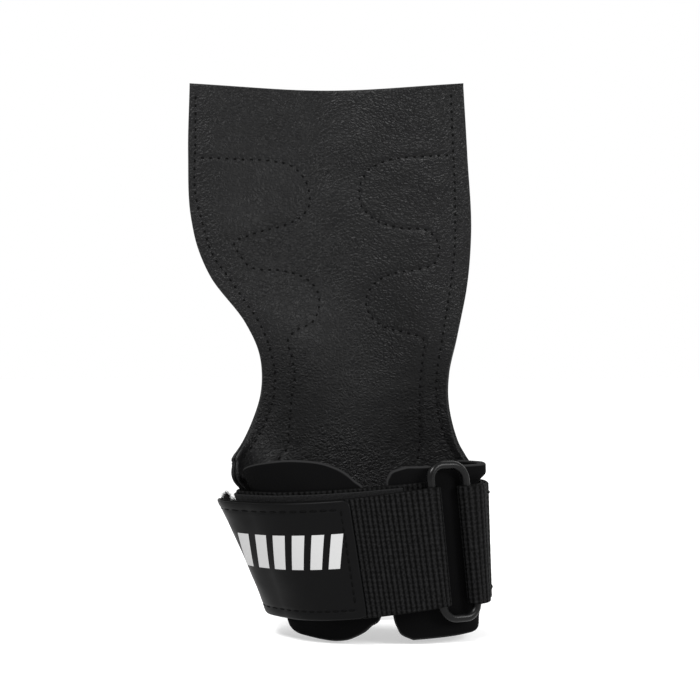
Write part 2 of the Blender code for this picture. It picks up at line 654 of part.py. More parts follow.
def main():
    clear_scene()
    parts = bpy.data.collections.new("hand_grip")
    bpy.context.scene.collection.children.link(parts)
    leather = material("leather", (0.022, 0.022, 0.023), 0.55)
    smooth_leather = material("patch_leather", (0.014, 0.014, 0.015), 0.45)
    neoprene = material("neoprene", (0.012, 0.012, 0.013), 0.8)
    lining = material("foam", (0.05, 0.05, 0.05), 0.9)
    webbing = material("webbing", (0.016, 0.016, 0.017), 0.7)
    pile = material("loop_pile", (0.02, 0.02, 0.021), 0.95)
    hooks = material("hook_tape", (0.02, 0.02, 0.021), 0.6)
    thread = material("thread", (0.01, 0.01, 0.01), 0.6)
    steel = material("painted_steel", (0.02, 0.02, 0.02), 0.35, 0.0)

    cuff = Body("cuff", (0, 0, 0), None, parts)
    bend_y = RING_CENTRE[1] + RING_HALF_DEPTH - BACK_FLAT + OVERLAY_START
    palm = Body("palm", (0, bend_y, BEND_HEIGHT), cuff, parts)
    buckle = Body("buckle", bar_point(RIGHT_BAR, LOOP_MIDDLE), cuff, parts)
    tail = Body("tail", bar_point(LEFT_BAR, LOOP_MIDDLE), buckle, parts)

    add_palm(palm, leather, lining, thread)
    add_cuff(cuff, leather, neoprene, webbing, pile, thread)
    add_loop(buckle, steel)
    add_tail(tail, webbing, hooks, smooth_leather, thread)
    pieces = [obj for obj in parts.objects if obj.type != "EMPTY"]
    centre_on_floor(cuff.empty, pieces)


main()
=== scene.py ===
"""Looks of the hand grip: leather, stitching, neoprene, webbing, end patch and wire loop.

Lengths are in millimetres in the design frame that the part's source uses, where x = 0 lies near the strap's
middle. SHIFT, read from the steel loop's place in the frame, takes them to the row frame in metres.
"""
import math

import bpy
import numpy as np
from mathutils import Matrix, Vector


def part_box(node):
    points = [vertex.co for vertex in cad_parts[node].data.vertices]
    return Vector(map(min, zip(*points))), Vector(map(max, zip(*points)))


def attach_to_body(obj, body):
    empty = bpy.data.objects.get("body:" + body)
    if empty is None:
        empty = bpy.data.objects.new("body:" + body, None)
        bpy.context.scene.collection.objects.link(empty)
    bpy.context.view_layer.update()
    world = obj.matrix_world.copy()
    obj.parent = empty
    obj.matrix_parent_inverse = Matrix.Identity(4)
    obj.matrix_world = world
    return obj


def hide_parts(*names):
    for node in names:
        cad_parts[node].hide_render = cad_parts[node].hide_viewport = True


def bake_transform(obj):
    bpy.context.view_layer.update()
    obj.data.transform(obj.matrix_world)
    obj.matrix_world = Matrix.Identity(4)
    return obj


MM = 0.001

# Cuff plan, the same as the part's: a superellipse that leans to the left with height.
RING_CENTRE = (10.75, -26.5)
RING_HALF_WIDTH = 39.75
RING_HALF_DEPTH = 24.5
FRONT_POWER = 2.4
BACK_POWER = 3.0
BACK_FLAT = 0.5
MID_HEIGHT = 35.0
RING_SAMPLES = 1440
SIDE_SAMPLES = 240
LEAN_FRONT = 0.155
LEAN_LEFT = 0.215
LEAN_RIGHT = -0.125

# Layers, outward from the cuff's inner face.
WING = 3.5
LEATHER_START = 4.0
LEATHER = 1.55
WEBBING = 1.6
PILE = 1.2
HOOKS = 1.0
PATCH = 1.3
GAP = 0.3
HOOK_GAP = 0.4
SEWN_GAP = 0.05
BAND_MIDDLE = LEATHER_START + WEBBING / 2
PILE_MIDDLE = LEATHER_START + WEBBING + GAP + PILE / 2
HOOK_MIDDLE = PILE_MIDDLE + PILE / 2 + GAP + HOOKS / 2
TAIL_MIDDLE = HOOK_MIDDLE + HOOKS / 2 + HOOK_GAP + WEBBING / 2
PATCH_MIDDLE = TAIL_MIDDLE + WEBBING / 2 + SEWN_GAP + PATCH / 2

# Straps: half widths, the outer run's middle height along the cuff, and its raised free end.
STRAP_HALF = 23.7
PILE_HALF = 22.3
HOOK_HALF = 22.6
TAIL_HEIGHT = 33.9
TAIL_CLIMB = 0.105
TAIL_CURVE = 0.0011
TAIL_CURL = 3.8
TAIL_CURL_REACH = 26.0
TAIL_DROP = 12.0
ANCHOR_HEIGHT = 38.5
ANCHOR_DROP = 9.0

# Distances back from the loop's left bar, and a way from the left bar's centre in fold radii, at which points
# are worked out for the inner run's free end and for the outer run's fold; the points are not used.
END_BEND = (26, 1)
FOLD_BEND = (-0.425, -0.7395, 0.0)

# Steel loop.
WIRE_RADIUS = 1.75
WIRE_SIDES = 28
CORNER_STEPS = 12
LOOP_LENGTH = 61.3
LOOP_MIDDLE = 40.0
LOOP_CORNER = 6.0
LOOP_LEAN = 0.095
LEFT_BAR_X = 34.9
RIGHT_BAR_X = 49.2
BAR_OFFSET = LEATHER_START + WEBBING + GAP + WIRE_RADIUS
FOLD_RADIUS = WIRE_RADIUS + GAP + WEBBING / 2

# Pad outlines as (height, x), then how it is dished.
PAD_LEFT = [(60, -48.5), (66, -48.5), (71, -47.0), (76, -44.8), (81, -42.7), (86.5, -40.7), (97, -37.9),
            (106, -37.4), (117, -39.2), (128, -44.4), (148, -59.4), (160, -64.7), (172, -67.5), (200, -69.0),
            (229, -68.5)]
PAD_RIGHT = [(60, 49.5), (66, 49.2), (71, 47.6), (76, 45.2), (81, 43.6), (86.5, 42.3), (97, 41.1),
             (106, 41.6), (122, 45.2), (143, 49.6), (165, 51.5), (200, 50.0), (229, 48.4)]
PAD_TOP = 230.5
PAD_TOP_DIP = 0.9
PAD_DISH = 15.0
PAD_LEAN_BACK = 0.045
PAD_TOP_DIP_FROM = 185.0
DISH_START = 70.0
DISH_FULL = 140.0
HELD_HEIGHT_RANGE = (55.0, 146.0)
HELD_X_RANGE = (-75.0, 66.0)
ROOT_BOTTOM = 11.0

# Heights where the leather leaves the cuff's curve for the pad's, and where the pad's own curve starts.
LEAVE_CUFF = (64.0, 80.0)
PAD_FOOT = 60.0

# The leather's side edges stand out just above the strap: rise and fall as heights, share of its width.
EAR_BULGE = 2.3
EAR_BULGE_RISE = (56.5, 62.5)
EAR_BULGE_FALL = (63.0, 73.0)
EAR_BULGE_SHARE = 0.12

# The strap lies over the leather from the back round to the left side, where its extra offset runs out.
EAR_LIFT = 3.8
EAR_LIFT_END = (2.0, 14.0)

# Seams as (x, height): the pad's two edges and the two sides of the overlay on the bar side.
EDGE_LEFT = [(-65.8, 226), (-65.8, 207), (-65.4, 181), (-62.8, 171), (-58.5, 157.5), (-51.2, 147),
             (-44.3, 137), (-37.8, 127), (-34, 117), (-31.9, 104), (-33.5, 93), (-37.4, 83), (-41.3, 76),
             (-45, 68)]
EDGE_RIGHT = [(43, 227), (43.9, 203), (44.7, 181), (44.3, 157.5), (41.3, 135), (38.7, 119), (36.6, 103),
              (37.2, 92), (39.2, 83), (43, 74), (45, 70)]
OVERLAY_LEFT = [(-64.5, 198.5), (-48, 198.3), (-34, 198), (-25, 196), (-20, 191), (-17.6, 184), (-18, 178.5),
                (-21.5, 174), (-27, 171), (-42, 166), (-49.5, 162), (-47, 157), (-43.4, 152.5),
                (-28.8, 150.6), (-19.4, 147.6), (-14.6, 143), (-13.3, 137), (-16, 129), (-24, 124.3),
                (-26.5, 121), (-25, 114), (-23.7, 106), (-25, 96), (-26, 86), (-27, 66)]
OVERLAY_RIGHT = [(43, 199.6), (31, 199.4), (20, 199), (13.8, 197.5), (7.7, 194), (4.3, 187), (4.6, 180),
                 (10.8, 173), (21.9, 169), (34, 167), (38, 161), (36, 153.5), (28.8, 151), (17, 149),
                 (10.3, 145), (6.9, 138), (8.6, 132), (14.2, 127), (23.7, 124.2), (31.5, 121), (31, 113),
                 (30, 102), (30, 86), (30, 66)]
OVERLAY_LAP = 2.4
OVERLAY_TOP = 226.5
STITCH_PITCH = 3.4
STITCH_LENGTH = 1.3
STITCH_RADIUS = 0.4

# Wings: heights against arc length, and the square tab's end against height.
WING_LAP = 16.0
WING_RIM = 0.8
WING_STITCHES = (17, 38, 60)
WING_SINK = 0.1
WING_WAVES = 0.18
WING_WAVE_SIZE = 17
TONGUE_TOP = [(-WING_LAP, 58), (0, 66), (8, 68.5), (18, 71), (30, 72.4), (40, 70.5), (48, 65), (53, 57),
              (55, 46)]
TONGUE_BOTTOM = [(-WING_LAP, 18), (-6, 8.6), (0, 3.8), (6, 1.2), (14, 0.3), (22, 0), (30, 0), (38, 1.5),
                 (46, 6), (52, 14), (55, 30)]
TONGUE_TALL = 72.0
BULGE = 4.5
BULGE_TOP = 10.8
BULGE_BOTTOM = 5.0
BULGE_REACH = 18.0
TAB_END = [(0, 20), (1.5, 16.5), (5, 14.3), (12, 13.4), (35, 16), (60, 18.3), (66, 19.5), (68.5, 22),
           (70, 27)]
TAB_TOP = 70.0
TAB_WIDE = 62.0
TAB_FOOT = 0.8
TAB_RISE = 3.5
TAB_CORNER = 4.0
TAB_CORNER_FROM = 0.45

# The tab flares out at its top and tucks in at its bottom, from FLARE_START along the cuff to FLARE_END
# past its right side.
FLARE_TOP = 3.2
FLARE_TOP_RISE = (62.0, 66.5)
FLARE_BOTTOM = 1.6
FLARE_BOTTOM_RISE = (16.0, 6.0)
FLARE_START = (46.0, 60.0)
FLARE_END = (15.0, 6.0)

# Webbing weave.
RIB_PITCH = 1.85
ROW_PITCH = 2.0
WEAVE_DEPTH = 0.46

# End patch and its printed bars, placed along the cuff and by height on the patch.
PATCH_EDGE = 3.8
PATCH_HALF = 23.3
PATCH_MARGIN = 3.5
PATCH_CORNER = 3.0
PATCH_GROOVE = (-0.34, 0.45)
PATCH_ROLL = (0.16, 1.0)
PATCH_ROLL_AT = 1.9
PATCH_SINK = 0.25
PATCH_STITCH = {"pitch": 3.1, "length": 2.2, "radius": 0.3}
PRINT_BARS = 6
PRINT_START = -38.5
PRINT_PITCH = 6.3
PRINT_WIDTH = 4.0
PRINT_SLANT = 0.22
PRINT_LOW = -3.2
PRINT_HIGH = 10.4
PRINT_THICK = 0.12

# Loose fibres at the hook strip's tip, each with rings at these shares of its length.
FUZZ_COUNT = 3400
FUZZ_LENGTH = 2.0
FUZZ_SPREAD = 0.35
FUZZ_AT_TIP = 0.3
FIBRE_RADIUS = 0.075
FIBRE_RINGS = (0.0, 0.35, 0.7, 1.0)
TRIANGLE = [(math.cos(2 * math.pi * n / 3), math.sin(2 * math.pi * n / 3)) for n in range(3)]


# Curves and surfaces

def smooth(points, at):
    """Cubic curve through (position, value) pairs, for an array of positions."""
    xs, ys = np.array(points, dtype=float).T
    slopes = np.gradient(ys, xs)
    at = np.clip(at, xs[0], xs[-1])
    i = np.clip(np.searchsorted(xs, at, side="right") - 1, 0, len(xs) - 2)
    width = xs[i + 1] - xs[i]
    t = (at - xs[i]) / width
    rise = 3 * t ** 2 - 2 * t ** 3
    bend = (t ** 3 - 2 * t ** 2 + t) * slopes[i] + (t ** 3 - t ** 2) * slopes[i + 1]
    return ys[i] + (ys[i + 1] - ys[i]) * rise + width * bend


def ease(t):
    t = np.clip(t, 0.0, 1.0)
    return t * t * (3 - 2 * t)


def ramp(value, start, end):
    """Soft rise from 0 at start to 1 at end."""
    return ease((value - start) / (end - start))


def mix(a, b, t):
    return a + (b - a) * t


def stack(*parts):
    return np.stack(np.broadcast_arrays(*parts), axis=-1)


def unit(vectors):
    return vectors / np.linalg.norm(vectors, axis=-1, keepdims=True)


def ring_plan():
    """The cuff's plan curve: arc length, point and tangent, counted from x = 0 at the front."""
    angles = np.linspace(-math.pi / 2, 3 * math.pi / 2, RING_SAMPLES + 1)
    power = np.where(np.sin(angles) > 0, BACK_POWER, FRONT_POWER)
    along, across = (np.sign(t) * np.abs(t) ** (2 / power) for t in (np.cos(angles), np.sin(angles)))
    xs = RING_CENTRE[0] + RING_HALF_WIDTH * along
    ys = RING_CENTRE[1] + RING_HALF_DEPTH * across
    ys = np.minimum(ys, RING_CENTRE[1] + RING_HALF_DEPTH - BACK_FLAT)
    length = np.concatenate([[0.0], np.cumsum(np.hypot(np.diff(xs), np.diff(ys)))])
    front = (ys < RING_CENTRE[1]) & (xs < RING_CENTRE[0] + 1)
    start = length[front][np.argmin(np.abs(xs[front]))] - length[-1]
    tangent = unit(np.gradient(stack(xs, ys), length, axis=0))
    return length, start, xs, ys, *tangent.T


LENGTH, START, RING_X, RING_Y, TANGENT_X, TANGENT_Y = ring_plan()
PERIMETER = float(LENGTH[-1])
LEFT_SIDE = float(LENGTH[np.argmin(RING_X)] - START - PERIMETER)
RIGHT_SIDE = float(LENGTH[np.argmax(RING_X)] - START)


def ring_at(s):
    """Plan x, y and outward normal at arc lengths s."""
    at = (s + START) % PERIMETER
    x, y, tx, ty = (np.interp(at, LENGTH, row) for row in (RING_X, RING_Y, TANGENT_X, TANGENT_Y))
    size = np.hypot(tx, ty)
    return x, y, ty / size, -tx / size


def lean(x):
    left = np.maximum(0.0, -x) / (RING_HALF_WIDTH - RING_CENTRE[0])
    right = np.maximum(0.0, x) / (RING_HALF_WIDTH + RING_CENTRE[0])
    return LEAN_FRONT + LEAN_LEFT * left ** 1.2 + LEAN_RIGHT * right ** 3


def ring_point(s, z, offset):
    """Points of the cuff at arc length s and height z, offset outward from its inner face."""
    x, y, nx, ny = ring_at(s)
    return stack(x + nx * offset - lean(x) * (z - MID_HEIGHT), y + ny * offset, z)


def ring_s(x, z, offset, back):
    """Arc length where the cuff's front or back reaches x."""
    start, end, sign = (RIGHT_SIDE, PERIMETER + LEFT_SIDE, -1) if back else (LEFT_SIDE, RIGHT_SIDE, 1)
    run = np.linspace(start, end, SIDE_SAMPLES)
    return float(np.interp(sign * x, sign * ring_point(run, z, offset)[:, 0], run))


def held_depths():
    """Table of the leather's depth where the back of the cuff holds it: rows of height, columns of x."""
    heights, xs = (np.arange(*reach, 1.0) for reach in (HELD_HEIGHT_RANGE, HELD_X_RANGE))
    run = np.linspace(RIGHT_SIDE, PERIMETER + LEFT_SIDE, SIDE_SAMPLES)
    rows = []
    for z in heights:
        points = ring_point(run, z, LEATHER_START)[::-1]
        rows.append(np.interp(xs, points[:, 0], points[:, 1]))
    return heights, xs, np.array(rows)


HELD_HEIGHTS, HELD_XS, HELD = held_depths()


def held_depth(x, z):
    row = np.clip(z - HELD_HEIGHTS[0], 0, len(HELD_HEIGHTS) - 1.001)
    column = np.clip(x - HELD_XS[0], 0, len(HELD_XS) - 1.001)
    i, j = row.astype(int), column.astype(int)
    u, v = row - i, column - j
    low = mix(HELD[i, j], HELD[i, j + 1], v)
    high = mix(HELD[i + 1, j], HELD[i + 1, j + 1], v)
    return mix(low, high, u)


def pad_depth(x, z):
    """y of the pad's palm side: the cuff's own curve low down, a wide dish higher up."""
    reach = np.minimum(np.abs(2 * pad_q(x, z) - 1), 1.0)
    dish = PAD_DISH * (1 - np.cos(math.pi * reach)) / 2
    deepest = RING_CENTRE[1] + RING_HALF_DEPTH + LEATHER_START - BACK_FLAT
    free = deepest + PAD_LEAN_BACK * (z - DISH_START) - dish
    return mix(held_depth(x, z), free, ramp(z, DISH_START, DISH_FULL))


def pad_point(x, z, offset):
    """Points of the pad seen at (x, z), offset towards the bar side from the palm side."""
    step = 0.5
    y = pad_depth(x, z)
    slope_x = (pad_depth(x + step, z) - pad_depth(x - step, z)) / (2 * step)
    slope_z = (pad_depth(x, z + step) - pad_depth(x, z - step)) / (2 * step)
    size = np.sqrt(1 + slope_x ** 2 + slope_z ** 2)
    reach = (offset - LEATHER_START) / size
    return stack(x - slope_x * reach, y + reach, z - slope_z * reach)


ROOT_LEFT = [(ROOT_BOTTOM, -10), (40, -6), (60, -1), (66, -1), (71, -5), (76, -13), (83, -20)]
EAR_HEIGHT = 63.5
RIGHT_LAP = RIGHT_SIDE + WING_LAP + 1.5
ROOT_RIGHT = [(ROOT_BOTTOM, RIGHT_LAP), (EAR_HEIGHT - 4, RIGHT_LAP), (EAR_HEIGHT, RIGHT_LAP)]
ROOT_RIGHT += [(z, ring_s(float(smooth(PAD_RIGHT, z)), z, LEATHER_START, True)) for z in (68.5, 72, 76, 90)]


def pad_x(q, z):
    return mix(smooth(PAD_LEFT, z), smooth(PAD_RIGHT, z), q)


def pad_q(x, z):
    """Share of the pad's width at x, from 0 at its left edge to 1 at its right edge."""
    left = smooth(PAD_LEFT, z)
    return (x - left) / (smooth(PAD_RIGHT, z) - left)


def ear_bulge(q, z):
    """How far the leather's side edges stand out just above the strap."""
    side = np.maximum(1 - q / EAR_BULGE_SHARE, 1 - (1 - q) / EAR_BULGE_SHARE)
    return EAR_BULGE * ramp(z, *EAR_BULGE_RISE) * (1 - ramp(z, *EAR_BULGE_FALL)) * ease(side)


def leather_point(q, z, offset):
    """Points of the leather from its left edge, q = 0, to its right edge, q = 1, in the cuff and above it."""
    s = mix(PERIMETER + LEFT_SIDE + smooth(ROOT_LEFT, z), smooth(ROOT_RIGHT, z), q)
    held = ring_point(s, z, offset + ear_bulge(q, z))
    x = pad_x(q, z)
    reach = 2 * q - 1
    dip = PAD_TOP_DIP * (1 - reach ** 4) * ramp(z, PAD_TOP_DIP_FROM, PAD_TOP) ** 2
    free = pad_point(x, np.maximum(z, PAD_FOOT), offset) - stack(0, 0, dip)
    free[..., 2] += np.minimum(z - PAD_FOOT, 0.0)
    return mix(held, free, ramp(z, *LEAVE_CUFF)[..., None])


def seam_point(x, z, offset):
    return leather_point(pad_q(x, z), z, offset)


def ear_lift(s):
    """Extra offset where the strap lies over the leather, from the back round to the left side."""
    at = s % PERIMETER
    lifted = EAR_LIFT * (1 - ramp(at - PERIMETER - LEFT_SIDE, *EAR_LIFT_END))
    return np.where(at < RIGHT_SIDE - 10, 0.0, lifted)


def band_height(s):
    """Middle height of the inner strap run, from the right side round the back to the front."""
    return smooth(BAND_HEIGHTS, np.where(s > RIGHT_SIDE - 1, s, s + PERIMETER))


def tail_height(s):
    return TAIL_HEIGHT + TAIL_CLIMB * s + TAIL_CURVE * s * s


def tail_curl(s, across):
    """How far the outer run's free end stands off the cuff, most at its upper corner."""
    side = across / STRAP_HALF
    return TAIL_CURL * ramp(s, TAIL_TIP + TAIL_CURL_REACH, TAIL_TIP) * ((1 + side) / 2) ** 2


LEFT_BAR = ring_s(LEFT_BAR_X, MID_HEIGHT, BAR_OFFSET, False)
RIGHT_BAR = ring_s(RIGHT_BAR_X, MID_HEIGHT, BAR_OFFSET, False)
TAIL_TIP = LEFT_SIDE - 5.0
PATCH_TIP = TAIL_TIP - 0.4
ANCHOR_END = RIGHT_SIDE + 16.0
ANCHOR_BOX = (RIGHT_SIDE - 8, RIGHT_SIDE + 6, 19.0, 58.0)
WING_SEAMS = (LEFT_SIDE - 8, RIGHT_SIDE + 11)
BAND_START = RIGHT_SIDE + 11.0
BAND_CUT = PERIMETER + LEFT_SIDE + 40
PILE_REACH = (LEFT_SIDE - 14, LEFT_BAR - 9)
BAND_HEIGHTS = [(RIGHT_SIDE, ANCHOR_HEIGHT), (PERIMETER / 2, 37), (PERIMETER - 46, 35),
                (PERIMETER - 20, 35.9), (PERIMETER, 37.4), (PERIMETER + 45, 41.5)]


def bar_centre(s):
    x, y, nx, ny = ring_at(s)
    return np.array([x + nx * BAR_OFFSET, y + ny * BAR_OFFSET])


def bar_point(s, z):
    spot = bar_centre(s)
    return np.array([spot[0] - LOOP_LEAN * (z - MID_HEIGHT), spot[1], z])


def design_shift():
    """Where the design frame's zero lies in the row frame, from the steel loop's box."""
    low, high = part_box("steel_loop")
    middle = (bar_point(LEFT_BAR, LOOP_MIDDLE) + bar_point(RIGHT_BAR, LOOP_MIDDLE)) / 2
    return np.array((low + high) / 2) / MM - middle


# Strap runs

def fold_line(s, offset, turn, side):
    """Plan points round a bar: turn from 0 (outer) to 1 (inner); offset is outward from the fold's middle."""
    _, _, nx, ny = ring_at(s)
    centre = bar_centre(s)
    angle = math.pi * (0.5 - turn)
    radius = FOLD_RADIUS + offset
    x = centre[0] + (-ny * side * np.cos(angle) + nx * np.sin(angle)) * radius
    y = centre[1] + (nx * side * np.cos(angle) + ny * np.sin(angle)) * radius
    return x, y


def run_or_fold(s, out, z, folded, bar, offset, turn, side):
    """Points of a strap: out from the cuff at arc length s or, where folded is true, round a bar."""
    x, y, nx, ny = ring_at(s)
    fold_x, fold_y = fold_line(bar, offset, np.clip(turn, 0, 1), side)
    tilt = np.where(folded, LOOP_LEAN, lean(x))
    x, y = np.where(folded, fold_x, x + nx * out), np.where(folded, fold_y, y + ny * out)
    return stack(x - tilt * (z - MID_HEIGHT), y, z)


FOLD_LENGTH = math.pi * FOLD_RADIUS


def tail_point(along, across, offset):
    """Outer run: along from the tip at TAIL_TIP to LEFT_BAR, then FOLD_LENGTH more round the bar."""
    s = np.minimum(along, LEFT_BAR)
    near_bar = ramp(s, LEFT_BAR - WIRE_RADIUS - TAIL_DROP, LEFT_BAR - WIRE_RADIUS)
    out = mix(TAIL_MIDDLE + ear_lift(s), BAR_OFFSET + FOLD_RADIUS, near_bar) + offset + tail_curl(s, across)
    turn = (along - LEFT_BAR) / FOLD_LENGTH
    return run_or_fold(s, out, tail_height(s) + across, along > LEFT_BAR, LEFT_BAR, offset, turn, 1)


def anchor_point(along, across, offset):
    """Anchor: outer leg from ANCHOR_END (along 0) to the right bar, round it, then the inner leg back."""
    leg = ANCHOR_END - RIGHT_BAR
    outer = along < leg
    inner = along > leg + FOLD_LENGTH
    inner_s = RIGHT_BAR + along - leg - FOLD_LENGTH
    s = np.where(outer, ANCHOR_END - along, np.where(inner, inner_s, RIGHT_BAR))
    low = BAND_MIDDLE + WEBBING + GAP
    drop = ease((s - RIGHT_BAR - WIRE_RADIUS) / ANCHOR_DROP)
    out = np.where(outer, mix(BAR_OFFSET + FOLD_RADIUS, low, drop) + offset, BAND_MIDDLE - offset)
    turn = (along - leg) / FOLD_LENGTH
    return run_or_fold(s, out, ANCHOR_HEIGHT + across, ~(outer | inner), RIGHT_BAR, offset, turn, -1)


def inner_strip(middle):
    """Surface of a strip along the inner run, its middle this far out from the cuff's inner face."""
    return lambda along, across, offset: ring_point(along, band_height(along) + across,
                                                    middle + ear_lift(along) + offset)


def outer_strip(middle):
    """The same along the outer run, which curls up at its free end."""
    return lambda along, across, offset: ring_point(
        along, tail_height(along) + across, middle + ear_lift(along) + tail_curl(along, across) + offset)


band_point, pile_point = inner_strip(BAND_MIDDLE), inner_strip(PILE_MIDDLE)
hook_point, patch_point = outer_strip(HOOK_MIDDLE), outer_strip(PATCH_MIDDLE)


# Mesh building

RIM_STEPS = np.array([0.0, 0.05, 0.18, 0.4, 0.7, 1.0])
BACK_APART = 50.0
NEVER_FLAT = 0.02


def steps(start, end, step, rim):
    """Positions from start to end, close together near both ends so that rims come out round."""
    near = rim * RIM_STEPS
    count = max(2, int(round((end - start - 2 * rim) / step)))
    middle = np.linspace(start + rim, end - rim, count + 1)[1:-1]
    return np.concatenate([start + near, middle, end - near[::-1]])


def in_row_frame(point):
    return tuple((np.asarray(point) + SHIFT) * MM)


def link(name, data):
    made = bpy.data.objects.new(name, data)
    bpy.context.scene.collection.objects.link(made)
    return made


def add_mesh(name, points, faces, finish):
    mesh = bpy.data.meshes.new(name)
    corners = (points.reshape(-1, 3) + SHIFT) * MM
    mesh.from_pydata(corners.tolist(), [], faces)
    mesh.shade_smooth()
    mesh.materials.append(finish)
    return link(name, mesh)


def signed_volume(points, quads):
    a, b, c, d = (points[quads[:, k]] for k in range(4))
    return float(np.einsum("ij,ij->", a, np.cross(b, c)) + np.einsum("ij,ij->", a, np.cross(c, d)))


def slab(name, us, vs, place, thickness, rim, finish, edge=None, relief=None, flat=None, both=False, cut=2):
    """Sheet with round rims over the grid us by vs; place(u, v, offset) gives points.

    edge(u, v) is the distance to the nearest border, relief(u, v) raises the outer face (or both faces),
    flat(u, v) gives the sheet's flat coordinates, and a higher cut makes the rim squarer. The shaders read
    each vertex's nearness to the border as "rim" and its relief as "lift".
    """
    u, v = np.meshgrid(us, vs, indexing="ij")
    if edge is None:
        depth = np.min([u - us[0], us[-1] - u, v - vs[0], vs[-1] - v], axis=0)
    else:
        depth = edge(u, v)
    border = np.zeros(u.shape, bool)
    border[[0, -1], :] = True
    border[:, [0, -1]] = True
    share = np.clip(np.where(border, 0.0, np.maximum(depth, NEVER_FLAT * rim)) / rim, 0, 1)
    half = thickness / 2 * (1 - (1 - share) ** cut) ** (1 / cut)
    raised = relief(u, v) * share if relief else 0.0
    outer = place(u, v, half + raised)
    inner = place(u, v, -half - (raised if both else 0.0))
    rows, columns = u.shape
    front = np.arange(rows * columns).reshape(rows, columns)
    back = front.copy()
    back[1:-1, 1:-1] = rows * columns + np.arange((rows - 2) * (columns - 2)).reshape(rows - 2, columns - 2)
    points = np.concatenate([outer.reshape(-1, 3), inner[1:-1, 1:-1].reshape(-1, 3)])
    quads = np.concatenate([quad_faces(front), quad_faces(back)[:, ::-1]])
    if signed_volume(points, quads) < 0:
        quads = quads[:, ::-1]
    obj = add_mesh(name, points, quads.tolist(), finish)
    add_values(obj, "rim", both_faces(1 - share))
    add_values(obj, "lift", both_faces(np.broadcast_to(raised, u.shape)))
    a, b = flat(u, v) if flat else (u, v)
    add_flat_coordinates(obj, both_faces(a, BACK_APART), both_faces(b))
    return obj


def both_faces(values, apart=0.0):
    """One value for each vertex of a slab: the front's whole grid, then the back's inner grid."""
    return np.concatenate([values.ravel(), values[1:-1, 1:-1].ravel() + apart])


def add_values(obj, name, values):
    obj.data.attributes.new(name, "FLOAT", "POINT").data.foreach_set("value", values.astype(np.float32))


def quad_faces(index):
    return stack(index[:-1, :-1], index[1:, :-1], index[1:, 1:], index[:-1, 1:]).reshape(-1, 4)


def tube_faces(first, rings, sides):
    """Faces round a tube, from the index of its first point and the number of rings and of points in one."""
    index = first + np.arange(rings * sides).reshape(rings, sides)
    return quad_faces(np.pad(index, ((0, 0), (0, 1)), mode="wrap"))[:, [0, 3, 2, 1]].tolist()


def distance_to(u, v, line):
    """Distance from each (u, v) to a polyline."""
    best = np.full(u.shape, np.inf)
    line = np.asarray(line, dtype=float)
    for a, b in zip(line, line[1:]):
        d = b - a
        t = np.clip(((u - a[0]) * d[0] + (v - a[1]) * d[1]) / max(float(d @ d), 1e-9), 0, 1)
        best = np.minimum(best, np.hypot(u - a[0] - t * d[0], v - a[1] - t * d[1]))
    return best


def closed_outline(there, back):
    """Closed border: out along one row of points and back along another."""
    return np.concatenate([there, back[::-1], there[:1]])


def reach_along(line):
    """Distance along a polyline at each of its points."""
    return np.concatenate([[0.0], np.cumsum(np.hypot(*np.diff(line, axis=0).T))])


def smooth_line(outline, step):
    """Outline points joined by a smooth curve and spaced by step."""
    flat = np.asarray(outline, dtype=float)
    reach = reach_along(flat)
    at = np.linspace(0, reach[-1], max(2, int(round(reach[-1] / step)) + 1))
    return stack(*(smooth(list(zip(reach, flat[:, k])), at) for k in (0, 1)))


def ripple(u, v, size, seed):
    """Soft random waves about size across, from -1 to 1."""
    rng = np.random.default_rng(seed)
    total = np.zeros(np.shape(u))
    for _ in range(7):
        angle, phase = rng.uniform(0, 2 * math.pi, 2)
        wave = 2 * math.pi / (size * rng.uniform(0.7, 1.5))
        total += np.sin((u * math.cos(angle) + v * math.sin(angle)) * wave + phase)
    return total / 4


STITCH_SIDES = 7
STITCH_PROFILE = np.array([(-0.5, -0.55, 0.45), (-0.42, 0.1, 0.85), (-0.2, 0.42, 1.0), (0.2, 0.42, 1.0),
                           (0.42, 0.1, 0.85), (0.5, -0.55, 0.45)])


def stitches(name, line, place, finish, pitch=STITCH_PITCH, length=STITCH_LENGTH, radius=STITCH_RADIUS):
    """Separate stitches along a line of (u, v) points; place(u, v, offset) is on the surface at 0.

    STITCH_PROFILE is each stitch as (share of its length, height and thickness in radii), both ends dipping
    into the surface.
    """
    path = smooth_line(line, 0.25)
    reach = reach_along(path)
    share, height, thick = STITCH_PROFILE.T[..., None]
    angle = 2 * math.pi * np.arange(STITCH_SIDES) / STITCH_SIDES
    rise = radius * (height + thick * np.sin(angle))[..., None]
    aside = radius * (thick * np.cos(angle))[..., None]
    points, faces = [], []
    for middle in np.arange(pitch / 2, reach[-1] - pitch / 2, pitch):
        u, v = (np.interp(middle + length * share[:, 0], reach, path[:, k]) for k in (0, 1))
        base = place(u, v, np.zeros(len(u)))
        up = unit(place(u, v, np.ones(len(u))) - base)
        side = unit(np.cross(np.gradient(base, axis=0), up))
        first = len(points) * rise.size
        last = first + rise.size - STITCH_SIDES
        points.append(base[:, None] + up[:, None] * rise + side[:, None] * aside)
        faces += tube_faces(first, len(share), STITCH_SIDES)
        faces += [list(range(first, first + STITCH_SIDES))[::-1], list(range(last, last + STITCH_SIDES))]
    return add_mesh(name, np.array(points), faces, finish)


def attach(obj, body, slot, *nodes):
    """Set a piece's body, or call the function given in its place, and hide the CAD nodes it replaces; slot
    is not used.
    """
    if nodes:
        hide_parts(*nodes)
    if callable(body):
        body(obj)
    else:
        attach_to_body(obj, body)


def seam_runs(name, node, body, runs, place, thread, **look):
    """Rows of stitches in body's seam, the first of them in place of the seam's CAD node."""
    for k, run in enumerate(runs):
        made = stitches(f"{name}_{k}", run, place, thread, **look)
        attach(made, body, "thread", *([node] if k == 0 else []))


# Materials

# The mix node's colour sockets, which share their names with its sockets for numbers and vectors.
MIX_A, MIX_B, MIX_RESULT = 6, 7, 2


